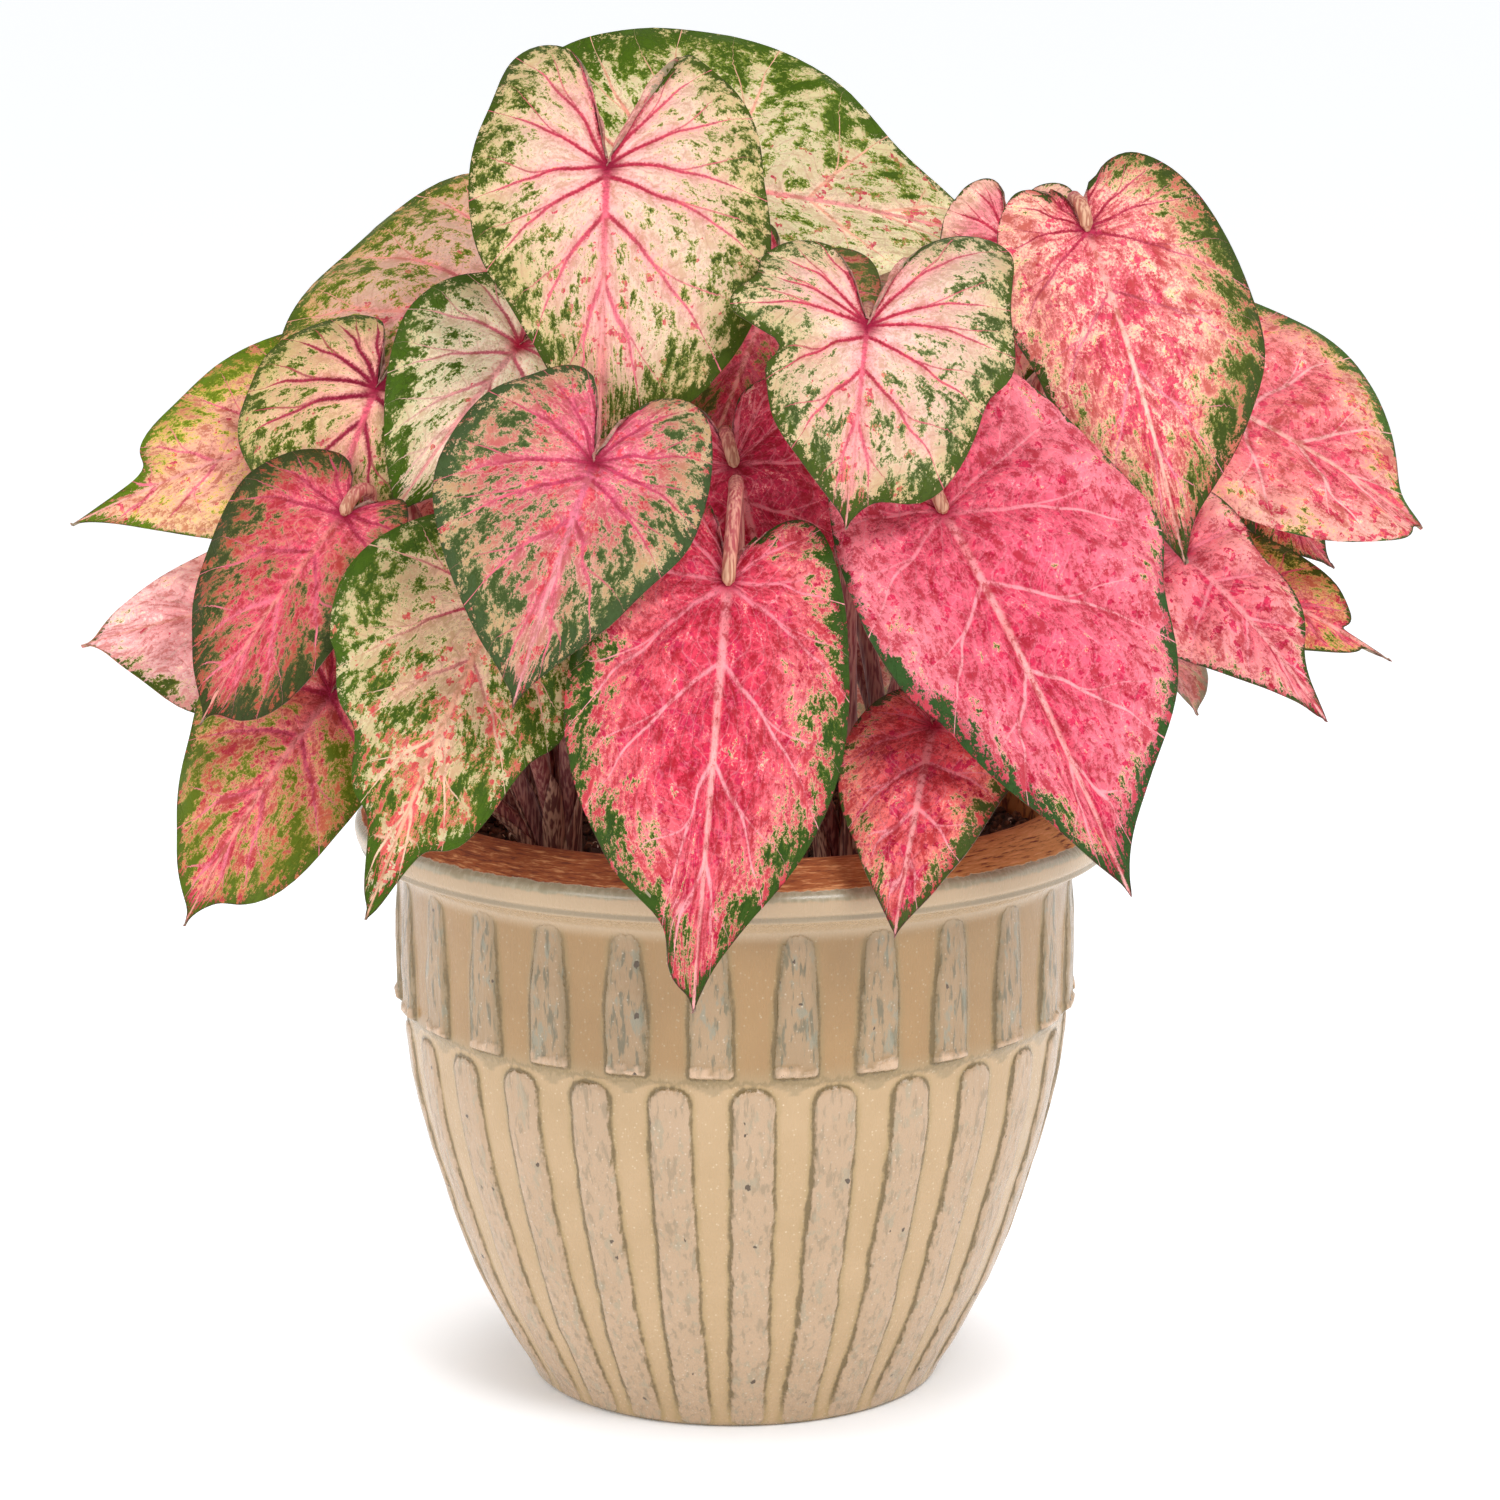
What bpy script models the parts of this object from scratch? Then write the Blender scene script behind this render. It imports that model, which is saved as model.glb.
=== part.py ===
"""Caladium in its pot: a turned clay pot, a soil plug, leaf stems grown from five tubers, and the leaf blades.

Lengths are in millimetres and become metres when a mesh is written. The origin is the centre of the
pot's underside, Z is up, and the side with the fullest show of leaves faces -Y.
"""

import math
import random

import bmesh
import bpy
import numpy as np

METRE = 0.001

# Pot. Profile as (radius, height), from the middle of the inside floor over the rim and down to the base.
POT_INSIDE = (
    (0.0, 11.0), (66.0, 11.0), (87.0, 44.0), (107.0, 100.0), (114.0, 144.0), (116.5, 204.0), (118.5, 221.5),
)
POT_RIM = (
    (122.5, 224.2), (127.0, 224.2), (135.0, 219.8), (142.0, 214.5), (141.5, 208.5), (139.5, 205.0), (131.0, 201.5),
)
POT_BAND = ((126.0, 197.0), (125.4, 152.0), (124.8, 146.0), (123.5, 144.0))
POT_BODY = ((122.8, 133.0), (118.6, 108.0), (110.0, 78.0), (98.5, 44.0), (83.5, 13.0), (77.5, 2.5), (74.0, 0.0))
POT_STEPS = 48

# Raised bars on the pot: an upper row on the band and a lower row on the body, half a step round.
BARS = 26
UPPER_BAR_TURN = -3.8
LOWER_BAR_TURN = 3.1
BAR_HALF_WIDTH = 5.8
BAR_SUNK = 0.5
UPPER_BAR_THICKNESS = 2.4
LOWER_BAR_THICKNESS = 1.8
UPPER_BAR_HEIGHTS = (145.6, 150.4, 151.6, 188.0, 197.0)
LOWER_BAR_HEIGHTS = (139.5, 134.0, 108.0, 78.0, 44.0, 14.0, 8.0)
FOOT_TAB = 0.8

# Soil, which fills the pot up to an uneven top.
SOIL_GAP = 0.3
SOIL_TOP = 206.0
SOIL_SWELL = 2.4
SOIL_STEPS = 48

# Tubers: where each stands in the soil, and the size of the sheathed base that its stems grow from.
TUBERS = {
    "front_left": (-62.0, -48.0),
    "front_right": (40.0, -55.0),
    "middle": (-4.0, 12.0),
    "rear_left": (-62.0, 52.0),
    "rear_right": (64.0, 46.0),
}
CROWN = ((0.0, 219.0), (8.5, 218.0), (14.0, 210.0), (15.0, 190.0), (11.0, 184.0), (0.0, 184.0))
CROWN_STEPS = 12
HOLE_RADIUS = 15.7
HOLE_BOTTOM = 183.4
STEM_START = 203.0
STEM_RING = 7.0
STEM_TOP_RADIUS = 2.3
STEM_FOOT_SCALE = 1.6
STEM_STATIONS = 7
STEM_NECK = 3.0

# Blades.
BLADE_THICKNESS = 0.8
SEAT_GAP = 0.5
EDGE_POINTS = 11
BLADE_RINGS = (0.35, 0.7, 1.0)

# Half outline of a blade from the tip to the notch: along the midrib and across, as shares of its length.
HALF_OUTLINE = (
    (1.00, 0.00), (0.94, 0.030), (0.86, 0.105), (0.74, 0.215), (0.58, 0.335),
    (0.40, 0.435), (0.20, 0.495), (0.00, 0.505), (-0.18, 0.465), (-0.33, 0.375),
    (-0.41, 0.250), (-0.375, 0.125), (-0.24, 0.055), (-0.10, 0.022), (-0.035, 0.0),
)
LOBE_DEPTH = 0.41
NOTCH_SIDE = 0.8

USUAL = {
    "width": (1.0, 1.0), "lobe": (1.0, 1.0), "belly": (0.0, 0.0), "full": (0.0, 0.0),
    "bend": 25.0, "lobe_bend": 25.0, "fold": 8.0, "curl": -20.0, "twist": 0.0,
    "wave": 0.02, "phase": 0.0, "dent": None, "lean": 0.6, "reach": 0.35,
}
WAVES = 3.0

# Each blade: its tuber, where the stem meets it, its tip, which way its face looks (degrees round from
# the front, degrees up), and where it differs from the usual shape. Pairs are left side and right side.
LEAVES = {
    "front_top": ("middle", (-45, -60, 461), (-47, -94, 367), (0, 25),
                  {"width": (0.95, 1.12), "lobe": (1.3, 1.2), "belly": (0.0, -0.05), "bend": 30,
                   "lobe_bend": 20, "fold": 10, "curl": -25, "lean": 0.8, "reach": 0.22}),
    "back_top": ("middle", (-24, 25, 448), (94, 50, 425), (0, 40),
                 {"width": (0.95, 1.15), "lobe": (1.0, 1.1), "belly": (0.0, -0.1), "bend": 20, "curl": -15}),
    "left_back": ("rear_left", (-80, 20, 420), (-172, -5, 368), (-35, 40), {"width": (0.9, 1.05)}),
    "left_middle": ("front_left", (-129, -40, 380), (-148, -66, 318), (-15, 25),
                    {"width": (1.35, 1.1), "lobe": (1.2, 1.0), "bend": 30}),
    "left_cream": ("front_left", (-77, -45, 396), (-122, -72, 338), (-10, 30),
                   {"width": (1.1, 1.2), "lobe": (1.1, 1.0), "bend": 20}),
    "right_centre": ("front_right", (46, -105, 410), (38, -140, 344), (5, 35),
                     {"width": (1.3, 1.42), "lobe": (1.05, 1.35), "belly": (-0.15, -0.05),
                      "full": (0.0, 0.35), "bend": 15, "dent": (-1, 0.15, 0.35, 0.12)}),
    "front_left_centre": ("front_left", (-48, -132, 366), (-75, -166, 287), (0, 25),
                          {"width": (1.1, 0.92), "lobe": (1.1, 1.0), "belly": (0.1, 0.0), "bend": 30}),
    "left_dark": ("front_left", (-138, -78, 340), (-188, -104, 269), (-28, 20),
                  {"width": (0.9, 0.65), "lobe": (0.5, 0.4), "belly": (0.1, 0.1), "full": (0.1, 0.4),
                   "lean": 0.4}),
    "front_left_low": ("front_left", (-82, -110, 314), (-127, -152, 210), (-5, 20),
                       {"width": (0.68, 0.72), "lobe": (0.75, 0.3), "belly": (0.25, 0.35),
                        "full": (0.0, -0.12)}),
    "left_low": ("front_left", (-144, -76, 275), (-196, -98, 195), (-20, 25),
                 {"width": (0.85, 0.72), "lobe": (0.8, 0.5), "belly": (0.1, 0.1)}),
    "far_left_upper": ("rear_left", (-150, -5, 362), (-243, -20, 327), (-25, 30),
                       {"width": (0.85, 0.9), "bend": 20}),
    "far_left_lower": ("front_left", (-160, -18, 300), (-239, -30, 284), (-25, 35),
                       {"width": (0.75, 1.1), "full": (0.0, 0.4), "bend": 20}),
    "front_lowest": ("front_right", (-2, -128, 324), (-14, -176, 183), (0, 20),
                     {"width": (0.72, 0.6), "lobe": (0.6, 0.4), "belly": (0.34, 0.22),
                      "full": (-0.08, 0.0), "bend": 30}),
    "front_right_large": ("front_right", (73, -105, 345), (137, -148, 217), (10, 20),
                          {"width": (0.6, 0.8), "lobe": (0.6, 0.9), "belly": (0.15, 0.1),
                           "full": (-0.05, 0.2)}),
    "right_top": ("front_right", (126, -40, 437), (160, -75, 321), (15, 20),
                  {"width": (0.66, 0.82), "lobe": (0.4, 0.5), "belly": (0.25, 0.15), "full": (0.0, 0.15)}),
    "far_right_upper": ("rear_right", (172, 22, 370), (256, 12, 321), (32, 30), {"width": (0.9, 0.95)}),
    "right_low": ("front_right", (162, -46, 321), (212, -74, 264), (28, 25), {"width": (0.95, 0.85)}),
    "far_right_small": ("rear_right", (200, 50, 326), (228, 50, 299), (25, 35), {"width": (0.8, 0.8)}),
    "far_right_lower": ("rear_right", (180, 20, 303), (246, 12, 270), (20, 30), {"width": (0.65, 0.6)}),
    "front_small": ("front_right", (70, -100, 268), (55, -158, 205), (-5, 35),
                    {"width": (0.65, 0.9), "lobe": (0.5, 0.7), "belly": (0.2, 0.1)}),
    "middle_pink": ("front_right", (0, -82, 358), (18, -100, 292), (0, 20), {"bend": 20}),
    "middle_olive": ("middle", (14, -30, 414), (-10, -55, 355), (0, 35),
                     {"width": (1.15, 1.2), "bend": 20}),
    "back_pale": ("rear_right", (100, 10, 428), (92, -15, 360), (0, 25),
                  {"width": (0.65, 0.85), "lobe": (0.9, 0.9), "bend": 20}),
    "rear_top": ("rear_right", (18, 80, 408), (34, 146, 335), (168, 35), {}),
    "rear_left_top": ("rear_left", (-62, 74, 380), (-95, 130, 298), (-150, 30), {}),
    "rear_right_top": ("rear_right", (112, 80, 366), (156, 126, 290), (132, 30), {"lean": 0.85}),
    "rear_left_middle": ("rear_left", (-125, 66, 322), (-180, 104, 258), (-122, 30), {"lobe": (0.7, 0.7)}),
    "rear_centre": ("rear_right", (22, 112, 335), (12, 170, 243), (180, 25), {}),
    "rear_left_inner": ("rear_left", (-52, 112, 315), (-70, 166, 228), (-165, 25), {}),
    "rear_right_inner": ("rear_right", (76, 108, 298), (98, 160, 214), (155, 25), {"lobe": (0.6, 0.6)}),
    "rear_right_middle": ("rear_right", (154, 96, 276), (184, 122, 228), (125, 25), {}),
    "rear_left_low": ("rear_left", (-122, 96, 262), (-158, 134, 195), (-135, 25), {}),
    "rear_low": ("rear_right", (25, 128, 264), (25, 180, 182), (180, 20), {}),
    "left_side_low": ("rear_left", (-150, 26, 274), (-195, 44, 224), (-95, 25), {}),
    "right_side_middle": ("front_right", (116, -12, 288), (144, -9, 230), (85, 20), {"width": (0.75, 0.75)}),
    "right_side_low": ("front_right", (112, -80, 282), (135, -104, 222), (60, 20), {}),
}

# Plain colours of the solids.
CLAY = (0.62, 0.47, 0.30)
EARTH = (0.08, 0.05, 0.035)
STEM_BROWN = (0.16, 0.06, 0.06)
GLAZED, MATT, WAXY = 0.3, 0.95, 0.5
BLADE_COLOURS = {"pink": (0.75, 0.15, 0.20), "cream": (0.72, 0.55, 0.38), "green": (0.20, 0.28, 0.08)}
PINK_BLADES = ("front_lowest", "front_right_large", "left_dark", "middle_pink", "right_low", "front_small")
GREEN_BLADES = ("rear_left_low", "left_side_low", "middle_olive", "far_right_lower")


def clear_scene():
    for item in list(bpy.data.objects):
        bpy.data.objects.remove(item, do_unlink=True)


def collection(name, parent):
    made = bpy.data.collections.new(name)
    parent.children.link(made)
    return made


def plain_material(name, colour, roughness):
    material = bpy.data.materials.new(name)
    material.diffuse_color = (*colour, 1.0)
    material.use_nodes = True
    shader = material.node_tree.nodes["Principled BSDF"]
    shader.inputs["Base Color"].default_value = (*colour, 1.0)
    shader.inputs["Roughness"].default_value = roughness
    return material


def add_object(name, data, group):
    made = bpy.data.objects.new(name, data)
    group.objects.link(made)
    return made


def finish(part, colour, roughness):
    part.data.materials.clear()
    part.data.materials.append(plain_material(part.name, colour, roughness))
    part.data.shade_smooth()
    part.data.set_sharp_from_angle(angle=math.radians(40))


def turned(name, profile, steps, group):
    """A profile of (radius, height) in millimetres, spun round the Z axis."""
    mesh = bpy.data.meshes.new(name)
    points = [(radius * METRE, 0.0, height * METRE) for radius, height in profile]
    mesh.from_pydata(points, [(i, i + 1) for i in range(len(points) - 1)], [])
    part = add_object(name, mesh, group)
    screw = part.modifiers.new("Turn", "SCREW")
    screw.steps = steps
    screw.render_steps = steps
    screw.use_merge_vertices = True
    screw.merge_threshold = 0.00001
    return part


def as_mesh(part):
    """The same object as a plain mesh with its modifiers or its curve worked out, and loose caps welded."""
    graph = bpy.context.evaluated_depsgraph_get()
    mesh = bpy.data.meshes.new_from_object(part.evaluated_get(graph))
    work = bmesh.new()
    work.from_mesh(mesh)
    bmesh.ops.remove_doubles(work, verts=work.verts, dist=0.000001)
    bmesh.ops.recalc_face_normals(work, faces=work.faces)
    work.to_mesh(mesh)
    work.free()
    name, group = part.name, part.users_collection[0]
    matrix = part.matrix_world.copy()
    bpy.data.objects.remove(part, do_unlink=True)
    made = add_object(name, mesh, group)
    made.matrix_world = matrix
    return made


def joined(target, group, operation):
    """Joins every object of a collection to the target, or cuts them all from it, and removes them."""
    modifier = target.modifiers.new(group.name, "BOOLEAN")
    modifier.operation = operation
    modifier.operand_type = "COLLECTION"
    modifier.collection = group
    modifier.solver = "EXACT"
    bpy.context.view_layer.update()
    made = as_mesh(target)
    for tool in list(group.objects):
        bpy.data.objects.remove(tool, do_unlink=True)
    return made


def unit(vector):
    vector = np.asarray(vector, float)
    return vector / np.linalg.norm(vector)


def wall_radius(height):
    """Radius of the pot's outside at a height."""
    profile = sorted((z, r) for r, z in POT_BAND + POT_BODY)
    return float(np.interp(height, [z for z, _ in profile], [r for _, r in profile]))


def make_bar(name, heights, thickness, turn, group):
    """A flat bar with rounded edges that follows the wall. Its upper end is narrowed to look rounded."""
    curve = bpy.data.curves.new(name, "CURVE")
    curve.dimensions = "3D"
    curve.fill_mode = "FULL"
    curve.twist_mode = "Z_UP"
    curve.extrude = BAR_HALF_WIDTH * METRE
    curve.bevel_depth = thickness * METRE
    curve.bevel_resolution = 0
    curve.use_fill_caps = True
    line = curve.splines.new("POLY")
    line.points.add(len(heights) - 1)
    top = max(heights)
    for point, height in zip(line.points, heights):
        radius = wall_radius(height)
        out = radius - BAR_SUNK + (FOOT_TAB if height in UPPER_BAR_HEIGHTS[:2] else 0.0)
        point.co = (out * METRE, height * METRE, 0.0, 1.0)
        point.radius = math.sqrt(radius / POT_BAND[0][0]) * (0.55 if height == top else 1.0)
    bar = add_object(name, curve, group)
    bar.rotation_euler = (math.pi / 2, 0.0, math.radians(turn - 90.0))
    bpy.context.view_layer.update()
    return as_mesh(bar)


def make_pot(plant, helpers):
    pot = turned("pot", POT_INSIDE + POT_RIM + POT_BAND + POT_BODY + ((0.0, 0.0),), POT_STEPS, plant)
    bars = collection("bars", helpers)
    for i in range(BARS):
        turn = i * 360.0 / BARS
        make_bar(f"upper_bar_{i}", UPPER_BAR_HEIGHTS, UPPER_BAR_THICKNESS, turn + UPPER_BAR_TURN, bars)
        make_bar(f"lower_bar_{i}", LOWER_BAR_HEIGHTS, LOWER_BAR_THICKNESS, turn + LOWER_BAR_TURN, bars)
    finish(joined(pot, bars, "UNION"), CLAY, GLAZED)


def make_soil(plant, helpers):
    """A plug that fills the pot, with crumbs raised over its top and a plain round hole for each tuber."""
    bottom = POT_INSIDE[0][1] + SOIL_GAP
    sides = [(radius - SOIL_GAP, height) for radius, height in POT_INSIDE[2:5]]
    foot = (POT_INSIDE[1][0] - SOIL_GAP, bottom)
    edge = POT_INSIDE[5][0] - SOIL_GAP - 0.2
    top = [(edge * share, SOIL_TOP) for share in (0.0, 0.25, 0.5, 0.75)] + [(edge, SOIL_TOP - 3.0)]
    soil = as_mesh(turned("soil", top + sides[::-1] + [foot, (0.0, bottom)], SOIL_STEPS, plant))
    crumbs = random.Random(7)
    for vertex in soil.data.vertices:
        if vertex.co.z > (SOIL_TOP - 1.0) * METRE:
            vertex.co.z += SOIL_SWELL * METRE * (crumbs.random() - 0.3)
    holes = collection("holes", helpers)
    for tuber, (x, y) in TUBERS.items():
        hole = turned("hole_" + tuber, ((0.0, 230.0), (HOLE_RADIUS, 230.0), (HOLE_RADIUS, HOLE_BOTTOM),
                                        (0.0, HOLE_BOTTOM)), CROWN_STEPS, holes)
        hole.location = (x * METRE, y * METRE, 0.0)
    finish(joined(soil, holes, "DIFFERENCE"), EARTH, MATT)


def ring_faces(start, above, count):
    """Two triangles for each step between a ring of points and the one outside it."""
    faces = []
    for i in range(count):
        j = (i + 1) % count
        faces += [(start + i, start + j, above + j), (start + i, above + j, above + i)]
    return faces


class Blade:
    """One leaf blade: where it sits, how it is shaped, and the points that follow from that."""

    def __init__(self, tuber, joint, tip, face, changes):
        self.tuber = tuber
        self.joint = np.array(joint, float)
        self.shape = {**USUAL, **changes}
        chord = np.array(tip, float) - self.joint
        self.length = float(np.linalg.norm(chord))
        self.along = chord / self.length
        turn, up = math.radians(face[0]), math.radians(face[1])
        looks = np.array([math.sin(turn) * math.cos(up), -math.cos(turn) * math.cos(up), math.sin(up)])
        self.normal = unit(looks - (looks @ self.along) * self.along)
        self.across = np.cross(self.normal, self.along)

    def half_outline(self, side, share):
        """Flat outline of one half in millimetres, tip to notch. Side is -1 for left and 1 for right."""
        k = 0 if side < 0 else 1
        shape = self.shape
        belly, reach = shape["belly"][k], LOBE_DEPTH * shape["lobe"][k]
        flat = smooth_curve(HALF_OUTLINE, share)
        a, b = flat[:, 0].copy(), flat[:, 1] * shape["width"][k]
        front = a > 0
        inner = share > NOTCH_SIDE
        ahead = np.clip(a, 0, 1)
        b = b * (1 + shape["full"][k] * np.sin(math.pi * ahead) * ahead)
        a_front = belly + a * (1 - belly)
        a_back = belly + a / LOBE_DEPTH * (reach + belly)
        a = np.where(front, a_front, np.where(inner, a * shape["lobe"][k], a_back))
        if shape["dent"] and shape["dent"][0] == side:
            _, at, depth, breadth = shape["dent"]
            b = b * (1 - depth * np.exp(-(((a - at) / breadth) ** 2)))
        swell = 1 + 0.02 * np.sin(2 * math.pi * WAVES * share + side) * np.sqrt(np.sin(math.pi * share))
        return np.stack([a * swell, side * b * swell], 1) * self.length

    def placed(self, flat, out, share, side):
        """Points in space for flat ones. Out is 0 at the joint and 1 at the margin."""
        shape, length = self.shape, self.length
        a, b = flat[:, 0], flat[:, 1]
        s = a / length
        start = math.radians(shape["bend"]) / 2
        rate = np.where(s >= 0, math.radians(shape["bend"]), math.radians(shape["lobe_bend"]) / 0.45)
        arc = (math.sin(start) - math.sin(start - math.radians(shape["bend"]))) / math.radians(shape["bend"])
        forward = (math.sin(start) - np.sin(start - rate * s)) / rate / arc * length
        lift = (np.cos(start - rate * s) - math.cos(start)) / rate / arc * length
        slope = start - rate * s
        fold = math.radians(shape["fold"])
        curl = math.radians(shape["curl"]) / (0.5 * length)
        across = (np.sin(fold + curl * abs(b)) - math.sin(fold)) / curl * np.sign(b)
        rise = -(np.cos(fold + curl * abs(b)) - math.cos(fold)) / curl
        ripple = np.sin(2 * math.pi * WAVES * share + shape["phase"] + 2 * side)
        rise = rise + shape["wave"] * length * out**2.5 * ripple * np.minimum(1, 6 * share)
        return (
            self.joint
            + np.outer(forward - rise * np.sin(slope), self.along)
            + np.outer(lift + rise * np.cos(slope), self.normal)
            + np.outer(across, self.across)
        )

    def surface(self):
        """The upper face as points and triangles, fanned out from the joint in rings."""
        share = np.linspace(0, 1, EDGE_POINTS)
        right = self.half_outline(1, share)
        left = self.half_outline(-1, share)[-2:0:-1]
        flat = np.vstack([right, left])
        shares = np.concatenate([share, share[-2:0:-1]])
        sides = np.concatenate([[0], np.ones(EDGE_POINTS - 2), [0], -np.ones(EDGE_POINTS - 2)])
        rows = [self.placed(flat * out, out, shares, sides) for out in BLADE_RINGS]
        points = np.vstack([[self.joint]] + rows)
        count = len(flat)
        faces = [(0, 1 + (i + 1) % count, 1 + i) for i in range(count)]
        for k in range(len(rows) - 1):
            faces += ring_faces(1 + k * count, 1 + (k + 1) * count, count)
        return points, np.array(faces)

    def stem_end(self):
        """The way the blade looks at its joint, and the point just under it where its stem stops."""
        tilt = math.radians(self.shape["bend"]) / 2
        up = math.cos(tilt) * self.normal - math.sin(tilt) * self.along
        return up, self.joint - up * (BLADE_THICKNESS + SEAT_GAP)

    def stem_path(self):
        """Points up the stem: out of the tuber, over, and straight up to the blade for its last bit."""
        x, y = TUBERS[self.tuber]
        up, head = self.stem_end()
        end = head - up * STEM_NECK
        out = np.array([self.joint[0] - x, self.joint[1] - y, 0.0])
        far = np.linalg.norm(out)
        out /= far
        foot = np.array([x, y, STEM_START]) + out * STEM_RING
        height = end[2] - foot[2]
        first = foot + np.array([0, 0, 0.55 * height]) + out * 0.1 * far
        arrive = unit(up * self.shape["lean"] - self.along * (1 - self.shape["lean"]))
        second = end - arrive * self.shape["reach"] * max(height, 60.0)
        t = np.linspace(0, 1, STEM_STATIONS)[:, None]
        path = (1 - t) ** 3 * foot + 3 * (1 - t) ** 2 * t * first + 3 * (1 - t) * t * t * second + t**3 * end
        return np.vstack([path, [head]])


def smooth_curve(points, share):
    """Points on a Catmull-Rom curve through the given ones, at shares of the way along."""
    p = np.array(points, float)
    p = np.vstack([2 * p[0] - p[1], p, 2 * p[-1] - p[-2]])
    t = share * (len(points) - 1)
    i = np.minimum(t.astype(int), len(points) - 2)
    u = (t - i)[:, None]
    a, b, c, d = p[i], p[i + 1], p[i + 2], p[i + 3]
    return 0.5 * (2 * b + (c - a) * u + (2 * a - 5 * b + 4 * c - d) * u**2 + (3 * b - a - 3 * c + d) * u**3)


def make_blade(name, blade, plant):
    """An open sheet that faces outwards, thickened towards its underside."""
    points, faces = blade.surface()
    corner = points[faces]
    looks = np.cross(corner[:, 1] - corner[:, 0], corner[:, 2] - corner[:, 0]).sum(axis=0)
    if looks @ blade.normal < 0:
        faces = faces[:, ::-1]
    mesh = bpy.data.meshes.new("leaf_" + name)
    mesh.from_pydata((points * METRE).tolist(), [], faces.tolist())
    leaf = add_object("leaf_" + name, mesh, plant)
    tone = "pink" if name in PINK_BLADES else "green" if name in GREEN_BLADES else "cream"
    finish(leaf, BLADE_COLOURS[tone], WAXY)
    sheet = leaf.modifiers.new("Thickness", "SOLIDIFY")
    sheet.thickness = BLADE_THICKNESS * METRE
    sheet.offset = -1.0


def make_stem(name, blade, group):
    """A tapering tube from the tuber to just under the blade."""
    path = blade.stem_path()
    curve = bpy.data.curves.new("stem_" + name, "CURVE")
    curve.dimensions = "3D"
    curve.bevel_depth = STEM_TOP_RADIUS * METRE
    curve.bevel_resolution = 1
    curve.use_fill_caps = True
    line = curve.splines.new("POLY")
    line.points.add(len(path) - 1)
    for k, (point, place) in enumerate(zip(line.points, path)):
        point.co = (*(place * METRE), 1.0)
        point.radius = STEM_FOOT_SCALE + (1.0 - STEM_FOOT_SCALE) * k / (len(path) - 1)
    stem = add_object("stem_" + name, curve, group)
    bpy.context.view_layer.update()
    return as_mesh(stem)


def make_crown(tuber, blades, plant, helpers):
    """The sheathed base that stands in the soil, with all the stems of one tuber grown from it."""
    x, y = TUBERS[tuber]
    crown = turned("stems_" + tuber, CROWN, CROWN_STEPS, plant)
    crown.location = (x * METRE, y * METRE, 0.0)
    stems = collection("grown_from_" + tuber, helpers)
    for name, blade in blades.items():
        if blade.tuber == tuber:
            make_stem(name, blade, stems)
    finish(joined(crown, stems, "UNION"), STEM_BROWN, WAXY)


def main():
    clear_scene()
    plant = collection("caladium", bpy.context.scene.collection)
    helpers = collection("helpers", bpy.context.scene.collection)
    blades = {name: Blade(*row) for name, row in LEAVES.items()}
    make_pot(plant, helpers)
    make_soil(plant, helpers)
    for tuber in TUBERS:
        make_crown(tuber, blades, plant, helpers)
    for name, blade in blades.items():
        make_blade(name, blade, plant)


main()
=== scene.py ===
"""Caladium in its pot: the looks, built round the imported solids.

Lengths in this file are millimetres until a mesh is written. The origin is the centre of the pot's
underside, Z is up, and the side with the fullest show of leaves faces -Y.
"""

import math
import random

import bmesh
import bpy
import numpy as np
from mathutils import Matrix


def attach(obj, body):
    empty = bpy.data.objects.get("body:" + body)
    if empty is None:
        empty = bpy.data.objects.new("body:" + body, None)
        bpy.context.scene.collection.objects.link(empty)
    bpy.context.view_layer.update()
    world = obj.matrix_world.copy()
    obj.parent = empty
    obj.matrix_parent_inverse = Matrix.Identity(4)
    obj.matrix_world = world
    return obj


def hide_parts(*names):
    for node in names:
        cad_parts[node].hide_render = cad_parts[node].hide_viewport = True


MM = 0.001
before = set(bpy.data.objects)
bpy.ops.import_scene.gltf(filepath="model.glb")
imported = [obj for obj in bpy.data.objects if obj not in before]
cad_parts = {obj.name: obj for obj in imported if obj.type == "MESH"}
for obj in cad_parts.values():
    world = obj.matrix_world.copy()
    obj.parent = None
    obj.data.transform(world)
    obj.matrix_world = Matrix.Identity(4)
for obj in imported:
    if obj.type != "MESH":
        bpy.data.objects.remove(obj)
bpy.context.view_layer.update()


# Small tools

def linear(code):
    """A hex sRGB colour as linear red, green, blue and alpha."""
    channels = [int(code[i:i + 2], 16) / 255 for i in (1, 3, 5)]
    return [c / 12.92 if c <= 0.04045 else ((c + 0.055) / 1.055) ** 2.4 for c in channels] + [1.0]


def add(tree, kind, inputs=None, output=0, **settings):
    """Adds a node, sets its properties, links or sets its inputs, and returns one of its outputs.

    The kind of a shader node leaves out the word ShaderNode.
    """
    whole = kind.startswith(("NodeGroup", "GeometryNode", "FunctionNode"))
    node = tree.nodes.new(kind if whole else "ShaderNode" + kind)
    for name, value in settings.items():
        setattr(node, name, value)
    for key, value in (inputs or {}).items():
        if isinstance(value, bpy.types.NodeSocket):
            tree.links.new(value, node.inputs[key])
        else:
            node.inputs[key].default_value = linear(value) if str(value).startswith("#") else value
    return node.outputs[output] if len(node.outputs) else node


SOFT = {"interpolation_type": "SMOOTHSTEP"}


def weighted(tree, total, *terms):
    """Adds to a first value each of the others, multiplied by its weight."""
    for value, weight in terms:
        total = add(tree, "Math", {0: value, 1: weight, 2: total}, operation="MULTIPLY_ADD")
    return total


def layered(tree, colour, *layers):
    """Lays colours over a ground, one after another, each with its own strength."""
    for strength, over in layers:
        colour = add(tree, "Mix", {0: strength, 6: colour, 7: over}, output=2, data_type="RGBA")
    return colour


def place_in_mm(tree):
    place = add(tree, "TexCoord", output="Object")
    return add(tree, "VectorMath", {0: place, 3: 1000.0}, operation="SCALE")


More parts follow.
